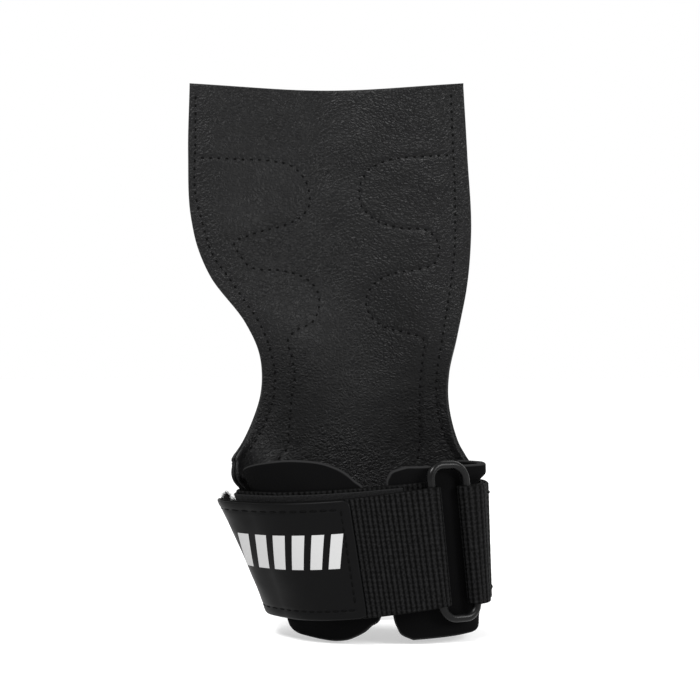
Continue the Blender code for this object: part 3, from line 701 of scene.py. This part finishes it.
class Finish:
    """Principled material with helpers for procedural colour, roughness and bump in sheet coordinates."""

    def __init__(self, name, colour, roughness, specular):
        self.material = bpy.data.materials.new(name)
        self.material.use_nodes = True
        self.tree = self.material.node_tree
        self.join = self.tree.links.new
        self.shader = self.tree.nodes["Principled BSDF"]
        self.shader.inputs["Base Color"].default_value = (*colour, 1.0)
        self.shader.inputs["Roughness"].default_value = roughness
        self.shader.inputs["Specular IOR Level"].default_value = specular
        self.normal = None

    def node(self, kind, **inputs):
        made = self.tree.nodes.new(kind)
        for name, value in inputs.items():
            socket = made.inputs[name.replace("_", " ")]
            if isinstance(value, bpy.types.NodeSocket):
                self.join(value, socket)
            else:
                socket.default_value = value
        return made

    def sheet_coordinates(self, stretch=(1.0, 1.0, 1.0), wobble=0.0, wobble_scale=200.0):
        """The piece's own flat coordinates, optionally bent by a little noise."""
        flat = self.node("ShaderNodeUVMap").outputs["UV"]
        if wobble:
            noise = self.node("ShaderNodeTexNoise", Vector=flat, Scale=wobble_scale, Detail=2.0)
            push = self.node("ShaderNodeVectorMath")
            push.operation = "MULTIPLY_ADD"
            self.join(noise.outputs["Color"], push.inputs[0])
            push.inputs[1].default_value = (wobble,) * 3
            self.join(flat, push.inputs[2])
            flat = push.outputs["Vector"]
        return self.node("ShaderNodeMapping", Vector=flat, Scale=stretch).outputs["Vector"]

    def noise(self, scale, detail=3.0, where=None):
        if where is None:
            where = self.sheet_coordinates()
        return self.node("ShaderNodeTexNoise", Vector=where, Scale=scale, Detail=detail).outputs["Fac"]

    def attribute(self, name):
        made = self.node("ShaderNodeAttribute")
        made.attribute_name = name
        return made.outputs["Fac"]

    def spread(self, value, low, high, from_low=0.3, from_high=0.7):
        """Map from_low..from_high, the usual reach of a noise, to low..high."""
        made = self.node("ShaderNodeMapRange", Value=value, From_Min=from_low, From_Max=from_high,
                         To_Min=low, To_Max=high)
        return made.outputs["Result"]

    def tint(self, value, other):
        """Mix from the base colour to other by value."""
        made = self.tree.nodes.new("ShaderNodeMix")
        made.data_type = "RGBA"
        self.join(value, made.inputs["Factor"])
        source = self.shader.inputs["Base Color"]
        if source.is_linked:
            self.join(source.links[0].from_socket, made.inputs[MIX_A])
        else:
            made.inputs[MIX_A].default_value = source.default_value
        made.inputs[MIX_B].default_value = (*other, 1.0)
        self.join(made.outputs[MIX_RESULT], source)

    def roughen(self, value, low, high):
        self.join(self.spread(value, low, high), self.shader.inputs["Roughness"])

    def bump(self, height, depth_mm, strength=1.0):
        made = self.node("ShaderNodeBump", Height=height, Distance=depth_mm * MM, Strength=strength)
        if self.normal:
            self.join(self.normal, made.inputs["Normal"])
        self.normal = made.outputs["Normal"]
        self.join(self.normal, self.shader.inputs["Normal"])


def leather_finish():
    """Pebbled leather: wrinkles wider than tall, stronger in patches, with soft mottling and pores."""
    colour = (0.0022, 0.0022, 0.0023)
    made = Finish("leather", colour, 0.5, 0.1)
    where = made.sheet_coordinates((0.8, 1.0, 1.0), wobble=0.02, wobble_scale=60.0)
    cells = made.node("ShaderNodeTexVoronoi", Vector=where, Scale=66.0)
    cells.feature = "DISTANCE_TO_EDGE"
    fine = made.node("ShaderNodeTexVoronoi", Vector=where, Scale=150.0)
    made.tint(made.spread(made.noise(5.0, 4.0), 0.0, 0.75), tuple(c * 1.7 for c in colour))
    made.roughen(made.noise(24.0), 0.34, 0.52)
    grain = made.spread(cells.outputs["Distance"], 0.0, 1.0, 0.0, 0.3)
    patchy = made.node("ShaderNodeMath", Value=made.spread(made.noise(2.4, 1.0), 0.45, 1.0, 0.42, 0.68))
    patchy.operation = "MULTIPLY"
    made.join(grain, patchy.inputs[1])
    made.bump(patchy.outputs["Value"], 0.3, 1.0)
    made.bump(fine.outputs["Distance"], 0.07, 0.7)
    made.bump(made.noise(420.0, 2.0), 0.03, 0.4)
    return made.material


def patch_finish():
    made = Finish("patch_leather", (0.0017, 0.0017, 0.0018), 0.4, 0.045)
    made.roughen(made.noise(14.0), 0.36, 0.5)
    made.bump(made.noise(130.0), 0.05, 0.35)
    made.bump(made.noise(9.0, 2.0), 0.25, 0.35)
    return made.material


def neoprene_finish():
    """Knit-faced foam: fine rows of stitches on the faces, a lighter open cut at the rim."""
    made = Finish("neoprene", (0.0021, 0.0021, 0.0022), 0.9, 0.015)
    knit = made.node("ShaderNodeTexWave", Vector=made.sheet_coordinates(), Scale=46.0, Distortion=0.6)
    made.tint(made.spread(made.attribute("rim"), 0.0, 1.0, 0.05, 0.35), (0.013, 0.013, 0.0132))
    made.bump(knit.outputs["Fac"], 0.06, 0.4)
    made.bump(made.noise(260.0, 2.0), 0.06, 0.5)
    return made.material


def webbing_finish():
    """Nylon yarn: ribs in the yarn's colour with the grooves between them painted near black as shade,
    speckled, with fine filaments along the ribs that the mesh already has.
    """
    made = Finish("webbing", (0.0004, 0.0004, 0.0004), 0.65, 0.025)
    strands = made.noise(200.0, 2.0, made.sheet_coordinates((6.0, 1.0, 1.0)))
    # Painted shade: where the relief lift is low, in the weave's grooves, the colour stays near black; the
    # raised ribs get the yarn's colour.
    made.tint(made.spread(made.attribute("lift"), 0.0, 1.0, -0.02, 0.22), (0.0078, 0.0078, 0.008))
    made.tint(made.spread(made.noise(135.0, 2.0), 0.0, 0.85, 0.42, 0.68), (0.0006, 0.0006, 0.0006))
    made.bump(strands, 0.08, 0.7)
    return made.material


def fuzzy_finish(name, colour):
    made = Finish(name, colour, 0.95, 0.05)
    made.shader.inputs["Sheen Weight"].default_value = 0.03
    made.tint(made.spread(made.noise(160.0), 0.0, 1.0), tuple(c * 2.5 for c in colour))
    made.bump(made.noise(300.0), 0.2, 0.9)
    return made.material


def thread_finish():
    return Finish("thread", (0.0012, 0.0012, 0.0012), 0.6, 0.03).material


def steel_finish():
    """Black coating over wire, slightly orange-peeled and rubbed."""
    made = Finish("coated_steel", (0.0015, 0.0015, 0.0016), 0.28, 0.12)
    where = made.node("ShaderNodeTexCoord").outputs["Object"]
    made.roughen(made.noise(120.0, 4.0, where), 0.22, 0.4)
    made.bump(made.noise(900.0, 2.0, where), 0.02, 0.3)
    return made.material


def print_finish():
    made = Finish("patch_print", (0.3, 0.3, 0.3), 0.5, 0.1)
    made.bump(made.noise(160.0, 2.0), 0.03, 0.3)
    return made.material


# Leather pad

FACE_MIDDLE = LEATHER_START + LEATHER / 2
BACK_MIDDLE = FACE_MIDDLE + LEATHER + 0.15
BACK_OUTER = BACK_MIDDLE + LEATHER / 2
OVERLAY_MIDDLE = BACK_OUTER + SEWN_GAP + LEATHER / 2
LEATHER_RIM = 0.7
LEATHER_WIDTH = 105.0
LEATHERS_APART = 300
PAD_STEP = 0.75
SEAM_STEP = 2.5
FACE_SINK = 0.12
BACK_SINK = 0.2
OVERLAY_BOTTOM = 67.0
OVERLAY_INSET = 1.0
BLEND_LOW = 73.0
BLEND_HIGH = 89.0
BLEND_DEPTH = 6.0

# Relief of the leathers, as (height, width): stitched valleys, and the ridges beside the neck seams.
FACE_VALLEY = (-0.26, 1.1)
BACK_VALLEY = (-0.3, 0.95)
OVERLAY_VALLEY = (-0.3, 0.8)
RIDGE = (0.16, 0.9)
RIDGE_FROM_SEAM = 1.9
RIDGE_TOP = (122.0, 116.0)
RIDGE_SIDES = (-24.0, 29.0)
SEAMS_START = (64.0, 72.0)
PADDING = 0.5
PADDING_RISE = 7.0
BACKING = 0.1
BACKING_RISE = 3.0


def hump(distance, shape):
    height, width = shape
    return height * np.exp(-(distance / width) ** 2)


def nearest(x, z, lines, step=SEAM_STEP):
    """Distance from (x, z) to the nearest of some seams."""
    return np.min([distance_to(x, z, smooth_line(line, step)) for line in lines], axis=0)


def leather_edge(q, z):
    width = smooth(PAD_RIGHT, z) - smooth(PAD_LEFT, z)
    return np.min([q * width, (1 - q) * width, PAD_TOP - z, z - ROOT_BOTTOM], axis=0)


def seam_x(line, z):
    x, height = smooth_line(line, 1.0)[::-1].T
    return np.interp(z, height, x)


def overlay_bounds(z):
    """Overlay's left and right edge at height z: its seam lines widened by the lap all round."""
    sides = []
    for line, edge, sign in ((OVERLAY_LEFT, EDGE_LEFT, -1), (OVERLAY_RIGHT, EDGE_RIGHT, 1)):
        reach = []
        for shift in np.linspace(-OVERLAY_LAP, OVERLAY_LAP, 15):
            at = np.clip(z + shift, line[-1][1], OVERLAY_TOP)
            x = np.where(at > line[0][1], seam_x(edge, at), seam_x(line, at))
            reach.append(sign * x + np.sqrt(OVERLAY_LAP ** 2 - shift ** 2))
        sides.append(sign * np.max(reach, axis=0))
    left = np.maximum(sides[0], smooth(PAD_LEFT, z) + OVERLAY_INSET)
    right = np.minimum(sides[1], smooth(PAD_RIGHT, z) - OVERLAY_INSET)
    return left, right


def face_relief(q, z):
    """Palm side: stitched valleys, a padded middle, ridges beside the neck seams and soft unevenness."""
    x = pad_x(q, z)
    edges = nearest(x, z, (EDGE_LEFT, EDGE_RIGHT))
    over_left, over_right = nearest(x, z, (OVERLAY_LEFT,)), nearest(x, z, (OVERLAY_RIGHT,))
    over = np.minimum(over_left, over_right)
    above = ramp(z, *SEAMS_START)
    valley = hump(np.minimum(edges, over), FACE_VALLEY) * above
    inside = (x > seam_x(EDGE_LEFT, z)) & (x < seam_x(EDGE_RIGHT, z))
    padding = PADDING * ease(np.where(inside, edges, 0) / PADDING_RISE)
    left, right = overlay_bounds(z)
    backed = BACKING * ease(np.where((x > left) & (x < right), over, 0) / BACKING_RISE)
    ridge = hump(over_left - RIDGE_FROM_SEAM, RIDGE) * (x < RIDGE_SIDES[0])
    ridge += hump(over_right - RIDGE_FROM_SEAM, RIDGE) * (x > RIDGE_SIDES[1])
    uneven = 0.28 * ripple(x, z, 34, 3) + 0.09 * ripple(x, z, 9, 5)
    return valley + padding + backed + ridge * ramp(z, *RIDGE_TOP) * above + uneven


def face_stitch(x, z, out):
    """Points over the palm side's surface at a seam, less what a stitch sinks in."""
    rise = LEATHER / 2 + face_relief(pad_q(x, z), z) - FACE_SINK + out
    return seam_point(x, z, FACE_MIDDLE - rise)


def back_relief(q, z):
    x = pad_x(q, z)
    valley = hump(nearest(x, z, (EDGE_LEFT, EDGE_RIGHT)), BACK_VALLEY) * ramp(z, *SEAMS_START)
    return np.minimum(valley + 0.1 * ripple(x, z, 11, 8), SEWN_GAP)


def add_flat_coordinates(obj, u, v):
    """Write (u, v) in decimetres for each vertex as the piece's UV map."""
    loops = np.zeros(len(obj.data.loops), dtype=int)
    obj.data.loops.foreach_get("vertex_index", loops)
    flat = stack(u[loops], v[loops]) / 100
    layer = obj.data.uv_layers.new(name="flat")
    layer.data.foreach_set("uv", flat.astype(np.float32).ravel())


def bend_with_pad(obj):
    low, high = (in_row_frame((0, BLEND_DEPTH, z)) for z in (BLEND_LOW, BLEND_HIGH))
    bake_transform(obj)
    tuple(low)
    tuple(high)


def make_pad(leather, thread):
    qs = steps(0.0, 1.0, PAD_STEP / LEATHER_WIDTH, LEATHER_RIM / LEATHER_WIDTH)
    zs = steps(ROOT_BOTTOM, PAD_TOP, PAD_STEP, LEATHER_RIM)

    def over_x(i, z):
        return mix(*overlay_bounds(z), i)

    def over_relief(i, z):
        x = over_x(i, z)
        seam = nearest(x, z, (OVERLAY_LEFT, OVERLAY_RIGHT), 2.0)
        return hump(seam, OVERLAY_VALLEY) + 0.12 * ripple(x, z, 13, 21)

    def sheet(name, us, vs, place, edge, relief, x_at, apart, *nodes):
        made = slab(name, us, vs, place, LEATHER, LEATHER_RIM, leather, edge, relief,
                    flat=lambda u, z: (x_at(u, z) + apart, z))
        attach(made, bend_with_pad, "leather", *nodes)
        return made

    front = sheet("leather_face", qs, zs, lambda q, z, out: leather_point(q, z, FACE_MIDDLE - out),
                  leather_edge, face_relief, pad_x, 0, "palm_face", "root_face")
    sheet("leather_back", qs, zs, lambda q, z, out: leather_point(q, z, BACK_MIDDLE + out),
          leather_edge, back_relief, pad_x, LEATHERS_APART, "palm_back", "root_back", "palm_core")
    rows = steps(OVERLAY_BOTTOM, OVERLAY_TOP, 0.45, LEATHER_RIM)
    outline = closed_outline(*(stack(side, rows) for side in overlay_bounds(rows)))
    sheet("leather_overlay", steps(0, 1, 0.012, 0.007), rows,
          lambda i, z, out: seam_point(over_x(i, z), z, OVERLAY_MIDDLE + out),
          lambda i, z: distance_to(over_x(i, z), z, outline), over_relief, over_x, 2 * LEATHERS_APART,
          "palm_overlay")
    seams = (("edge", ("edge", "ear"), (EDGE_LEFT, EDGE_RIGHT), BACK_OUTER),
             ("overlay", ("overlay",), (OVERLAY_LEFT, OVERLAY_RIGHT), OVERLAY_MIDDLE + LEATHER / 2))
    for kind, nodes, lines, outer in seams:
        for side, line in zip(("left", "right"), lines):
            name = f"{kind}_stitches_{side}"
            near = stitches(name, line, face_stitch, thread)
            attach(near, bend_with_pad, "thread", *(f"{node}_seam_{side}" for node in nodes))
            far = stitches(name + "_back", line,
                           lambda x, z, out: seam_point(x, z, outer - BACK_SINK + out), thread)
            attach(far, bend_with_pad, "thread")


# Cuff

def make_wings(neoprene, thread):
    def tongue_z(reach, j):
        return mix(smooth(TONGUE_BOTTOM, reach), smooth(TONGUE_TOP, reach), j)

    def tongue(reach, j, offset):
        z = tongue_z(reach, j)
        bulge = BULGE * ramp(z, BULGE_TOP, BULGE_BOTTOM) * ramp(reach, BULGE_REACH, 0)
        return ring_point(LEFT_SIDE + reach, z, WING / 2 + offset + bulge)

    reach = steps(-WING_LAP, TONGUE_TOP[-1][0], 0.7, WING_RIM)
    outline = closed_outline(*(stack(reach, tongue_z(reach, j)) for j in (1, 0)))
    left = slab("neoprene_tongue", reach, steps(0, 1, 0.011, 0.012), tongue, WING, WING_RIM, neoprene,
                lambda u, j: distance_to(u, tongue_z(u, j), outline),
                lambda u, j: WING_WAVES * ripple(u, TONGUE_TALL * j, WING_WAVE_SIZE, 31),
                flat=lambda u, j: (u, tongue_z(u, j)), cut=4)

    def tab_place(i, j):
        height = TAB_TOP * j
        corner = TAB_CORNER * ramp(i, TAB_CORNER_FROM, 1)
        z = height + (1 - j) * (TAB_FOOT + TAB_RISE * i + corner)
        return mix(smooth(TAB_END, height), RIGHT_SIDE + WING_LAP, i), z

    def tab(i, j, offset):
        s, z = tab_place(i, j)
        flare = FLARE_TOP * ramp(z, *FLARE_TOP_RISE) - FLARE_BOTTOM * ramp(z, *FLARE_BOTTOM_RISE)
        flare *= ramp(s, *FLARE_START) * ramp(s - RIGHT_SIDE, *FLARE_END)
        return ring_point(s, z, WING / 2 + offset + flare)

    line = np.linspace(0, 1, 120)
    back, ones, zeros = line[::-1], np.ones_like(line), np.zeros_like(line)
    sides = (line, ones), (ones, back), (back, zeros), (zeros, line)
    border = np.concatenate([stack(*tab_place(i, j)) for i, j in sides])
    right = slab("neoprene_tab", steps(0, 1, 0.011, 0.012), steps(0, 1, 0.01, 0.012), tab, WING, WING_RIM,
                 neoprene, lambda i, j: distance_to(*tab_place(i, j), border),
                 lambda i, j: WING_WAVES * ripple(TAB_WIDE * i, TAB_TOP * j, WING_WAVE_SIZE, 37),
                 flat=tab_place, cut=4)
    for obj, node in ((left, "wing_left"), (right, "wing_right")):
        attach(obj, "cuff", "neoprene", node)
    for side, s in zip(("left", "right"), WING_SEAMS):
        made = stitches(f"wing_stitches_{side}", [(s, z) for z in WING_STITCHES],
                        lambda s, z, out: ring_point(s, z, WING_SINK - out), thread)
        attach(made, "cuff", "thread", f"wing_seam_{side}")


def weave(along, across):
    """Height of the webbing's ribs, which run across the strap, and of the rows that show between them."""
    rib = np.abs(np.sin(math.pi * along / RIB_PITCH)) ** 0.75
    row = 0.5 + 0.5 * np.cos(2 * math.pi * (across / ROW_PITCH + 0.12 * along / RIB_PITCH))
    loose = 0.05 * ripple(along, across, 5, 41)
    return WEAVE_DEPTH * (rib * (0.9 + 0.1 * row) + (1 - rib) * 0.4 * row ** 2 - 0.5 + loose)


def strap_slab(name, along, place, finish, relief=weave):
    across = steps(-STRAP_HALF, STRAP_HALF, 0.3, 0.7)
    return slab(name, along, across, place, WEBBING - 0.15, 0.6, finish, relief=relief, both=True)


def bend_with_loop(obj):
    """Bake the piece's place into its mesh; points on the inner run near the loop's left bar are worked out
    but not used.
    """
    start, end = (ring_point(LEFT_BAR - back, MID_HEIGHT, BAND_MIDDLE) for back in END_BEND)
    in_row_frame(start)
    in_row_frame(end)
    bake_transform(obj)


def make_straps(webbing, pile, thread):
    band = strap_slab("strap_inner_run", steps(BAND_START, BAND_CUT, 0.32, 0.6), band_point, webbing)
    attach(band, "cuff", "webbing", "strap_band")
    front_run = steps(BAND_CUT - 0.1, PERIMETER + LEFT_BAR - 0.6, 0.6, 0.5)
    end = strap_slab("strap_inner_end", front_run, band_point, webbing)
    soft = slab("pile_strip", steps(*PILE_REACH, 0.7, 0.5), steps(-PILE_HALF, PILE_HALF, 0.6, 0.5),
                pile_point, PILE, 0.5, pile, relief=lambda u, v: 0.12 * ripple(u, v, 1.6, 51))
    attach(end, bend_with_loop, "webbing")
    attach(soft, bend_with_loop, "loop_pile", "loop_pile_strip")
    along = steps(0, 2 * (ANCHOR_END - RIGHT_BAR) + FOLD_LENGTH - 1, 0.26, 0.5)
    anchor = strap_slab("anchor_webbing", along, anchor_point, webbing)
    attach(anchor, "cuff", "webbing", "anchor_loop")
    near, far, low, high = ANCHOR_BOX
    box = [(near, low), (far, low), (far, high), (near, high), (near, low)]
    outer = LEATHER_START + 2 * WEBBING + GAP + SEWN_GAP
    seam_runs("anchor_stitches", "anchor_seam", "cuff", list(zip(box, box[1:])),
              lambda s, z, out: ring_point(s, z, outer + out), thread)


# Loop and tail

def make_loop(steel):
    left, right = bar_point(LEFT_BAR, LOOP_MIDDLE), bar_point(RIGHT_BAR, LOOP_MIDDLE)
    middle, across = (left + right) / 2, (right - left) / 2
    wide = np.linalg.norm(across) - LOOP_CORNER
    across, up = unit(across), unit(np.array([-LOOP_LEAN, 0, 1]))
    tall = LOOP_LENGTH / 2 - LOOP_CORNER
    path = []
    for quarter, (side, end) in enumerate(((1, 1), (-1, 1), (-1, -1), (1, -1))):
        for k in range(CORNER_STEPS + 1):
            angle = math.pi / 2 * (quarter + k / CORNER_STEPS)
            path.append(middle + across * (side * wide + LOOP_CORNER * math.cos(angle))
                        + up * (end * tall + LOOP_CORNER * math.sin(angle)))
    path = np.array(path)
    ahead = unit(np.roll(path, -1, axis=0) - np.roll(path, 1, axis=0))
    out = np.cross(across, up)
    side = np.cross(ahead, out)[:, None]
    turn = np.linspace(0, 2 * math.pi, WIRE_SIDES, endpoint=False)[:, None]
    points = (path[:, None] + WIRE_RADIUS * (np.cos(turn) * side + np.sin(turn) * out)).reshape(-1, 3)
    index = np.arange(len(points)).reshape(-1, WIRE_SIDES)
    quads = quad_faces(np.pad(index, ((0, 1), (0, 1)), mode="wrap"))
    if signed_volume(points, quads) < 0:
        quads = quads[:, ::-1]
    attach(add_mesh("wire_loop", points, quads.tolist(), steel), "buckle", "painted_steel", "steel_loop")


def hook_fuzz(finish):
    """Loose three-sided fibres stand along the hook strip's top edge, most of them at its tip."""
    rng = np.random.default_rng(5)
    points, faces = [], []
    for _ in range(FUZZ_COUNT):
        along = TAIL_TIP + TAIL_CURL_REACH * rng.uniform(0, 1) ** 3
        at_tip = rng.uniform(0, 1) < FUZZ_AT_TIP
        across = HOOK_HALF * (rng.uniform(-1, 1) if at_tip else 1)
        root = hook_point(TAIL_TIP - 0.5 if at_tip else along, across, rng.uniform(-0.4, 0.4))
        out = unit(np.array((-0.8, 0.5, 0.1) if at_tip else (-0.2, 0.1, 1.0)))
        drift = rng.normal(0, FUZZ_SPREAD, 3)
        reach = FUZZ_LENGTH * rng.uniform(0.35, 1.0)
        curl = rng.normal(0, 0.5, 3)
        first = len(points)
        for t in FIBRE_RINGS:
            centre = root + (out + drift * t + curl * t * t) * reach * t
            for x, y in TRIANGLE:
                points.append(centre + FIBRE_RADIUS * (1 - 0.6 * t) * np.array([x, y, 0.3 * y]))
        faces += tube_faces(first, len(FIBRE_RINGS), len(TRIANGLE))
    return add_mesh("hook_fuzz", np.array(points), faces, finish)


def patch_half(u):
    into = np.clip(PATCH_CORNER - (PATCH_EDGE - u), 0, PATCH_CORNER)
    return PATCH_HALF - (PATCH_CORNER - np.sqrt(PATCH_CORNER ** 2 - into ** 2))


def bend_with_tail(obj):
    centre, toward = np.array([*bar_centre(LEFT_BAR), LOOP_MIDDLE]), FOLD_RADIUS * np.array(FOLD_BEND)
    in_row_frame(centre - toward)
    in_row_frame(centre + toward)
    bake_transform(obj)


def make_tail(webbing, hooks, patch_leather, thread, white):
    # The rows of points are further apart where the patch covers the webbing.
    covered = np.linspace(TAIL_TIP, PATCH_EDGE - 3, 44)[:-1]
    tip = TAIL_TIP + 0.5 * RIM_STEPS
    along = np.concatenate([tip, covered[covered > TAIL_TIP + 0.6],
                            steps(PATCH_EDGE - 3, LEFT_BAR + FOLD_LENGTH, 0.24, 0.4)])
    tail = strap_slab("strap_outer_run", along, tail_point, webbing,
                      lambda u, v: weave(u, v) * (1 - ramp(u, PATCH_EDGE - 1.5, PATCH_EDGE - 3)))
    attach(tail, bend_with_tail, "webbing", "strap_tail")
    panel = slab("hook_strip", steps(TAIL_TIP - 0.6, PATCH_EDGE - 2, 0.6, 0.4),
                 steps(-HOOK_HALF, HOOK_HALF, 0.5, 0.4), hook_point, HOOKS, 0.4, hooks,
                 relief=lambda u, v: 0.1 * ripple(u, v, 1.3, 61))
    attach(panel, "tail", "hook_tape", "hook_panel")
    attach(hook_fuzz(hooks), "tail", "hook_tape")
    make_patch(patch_leather, thread)
    for k in range(PRINT_BARS):
        attach(print_bar(k, white), "tail", "patch_leather")


def make_patch(patch_leather, thread):
    us = np.concatenate([steps(PATCH_TIP, PATCH_EDGE - 2, 0.7, 0.9)[:-len(RIM_STEPS)],
                         PATCH_EDGE - PATCH_CORNER * np.cos(np.linspace(0.2, math.pi / 2, 22))])

    def patch(u, w, offset):
        return patch_point(u, w * patch_half(u), offset)

    line = np.linspace(PATCH_TIP, PATCH_EDGE, 160)
    outline = closed_outline(*(stack(line, side * patch_half(line)) for side in (1, -1)))

    def patch_edge(u, w):
        return distance_to(u, w * patch_half(u), outline)

    def patch_relief(u, w):
        depth = patch_edge(u, w)
        border = hump(depth - PATCH_MARGIN, PATCH_GROOVE) + hump(depth - PATCH_ROLL_AT, PATCH_ROLL)
        return border + 0.1 * ripple(u, 23 * w, 14, 71)

    cover = slab("patch_cover", us, steps(-1, 1, 0.03, 0.036), patch, PATCH, 0.8, patch_leather, patch_edge,
                 patch_relief, flat=lambda u, w: (u, w * patch_half(u)))
    attach(cover, "tail", "patch_leather", "end_patch")
    near, far, half = PATCH_EDGE - PATCH_MARGIN, TAIL_TIP + 3.0, PATCH_HALF - PATCH_MARGIN
    sides = [[(far, half), (near, half)], [(near, half), (near, -half)], [(near, -half), (far, -half)]]
    seam_runs("patch_stitches", "patch_seam", "tail", sides,
              lambda u, v, out: patch_point(u, v, PATCH / 2 - PATCH_SINK + out), thread, **PATCH_STITCH)


def print_bar(k, white):
    """One slanted bar of the plain printed mark on the end patch."""
    first = PRINT_START + PRINT_PITCH * k

    def place(u, v, offset):
        return patch_point(u + PRINT_SLANT * (v - PRINT_LOW), v, PATCH / 2 + PRINT_THICK / 2 + offset)

    return slab(f"print_bar_{k}", steps(first, first + PRINT_WIDTH, 0.6, 0.12),
                steps(PRINT_LOW, PRINT_HIGH, 0.8, 0.12), place, PRINT_THICK, 0.1, white)


# Stage

CAMERA_DISTANCE = 740.0
CAMERA_HEIGHT = 116.6
LENS = 88.5
FLOOR_REACH = 6.0
FLOOR_DROP = 0.0005
LOOK_AT = (0, 0, 0.12)


def make_stage():
    pale = Finish("floor", (0.6, 0.6, 0.6), 1.0, 0.0)
    pale.shader.inputs["Emission Color"].default_value = (1, 1, 1, 1)
    pale.shader.inputs["Emission Strength"].default_value = 0.45
    mesh = bpy.data.meshes.new("floor")
    corners = [(x * FLOOR_REACH, y * FLOOR_REACH, 0) for x, y in ((-1, -1), (1, -1), (1, 1), (-1, 1))]
    mesh.from_pydata(corners, [], [(0, 1, 2, 3)])
    mesh.materials.append(pale.material)
    floor = link("floor", mesh)
    floor.location.z = -FLOOR_DROP

    world = bpy.data.worlds.new("studio")
    world.use_nodes = True
    background = world.node_tree.nodes["Background"]
    background.inputs["Color"].default_value = (1, 1, 1, 1)
    background.inputs["Strength"].default_value = 1.0
    bpy.context.scene.world = world
    bpy.context.scene.view_settings.view_transform = "Standard"
    add_light("key", (-0.35, -0.6, 0.9), 0.35, 16.0)
    add_light("fill", (0.75, -0.5, 0.45), 0.4, 8.0)

    camera = link("camera", bpy.data.cameras.new("camera"))
    camera.data.lens = LENS
    camera.data.clip_start = 0.01
    camera.data.clip_end = 50
    camera.location = in_row_frame((0, -CAMERA_DISTANCE, CAMERA_HEIGHT))
    camera.rotation_euler = (math.pi / 2, 0, 0)
    bpy.context.scene.camera = camera


def add_light(name, place, size, power):
    lamp = bpy.data.lights.new(name, "AREA")
    lamp.energy = power
    lamp.size = size
    made = link(name, lamp)
    made.location = place
    made.rotation_euler = (Vector(LOOK_AT) - Vector(place)).to_track_quat("-Z", "Y").to_euler()


def main():
    thread = thread_finish()
    webbing = webbing_finish()
    make_pad(leather_finish(), thread)
    make_wings(neoprene_finish(), thread)
    make_straps(webbing, fuzzy_finish("loop_pile", (0.003, 0.003, 0.0031)), thread)
    make_loop(steel_finish())
    hooks = fuzzy_finish("hook_tape", (0.004, 0.004, 0.0042))
    make_tail(webbing, hooks, patch_finish(), thread, print_finish())
    make_stage()


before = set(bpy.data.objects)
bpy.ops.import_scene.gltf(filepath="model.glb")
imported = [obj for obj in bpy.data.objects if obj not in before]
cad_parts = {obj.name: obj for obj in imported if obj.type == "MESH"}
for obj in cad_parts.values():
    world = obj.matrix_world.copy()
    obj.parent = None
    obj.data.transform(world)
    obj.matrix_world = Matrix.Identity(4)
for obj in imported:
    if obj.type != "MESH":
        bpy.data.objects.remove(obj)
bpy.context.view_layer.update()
SHIFT = design_shift()
main()
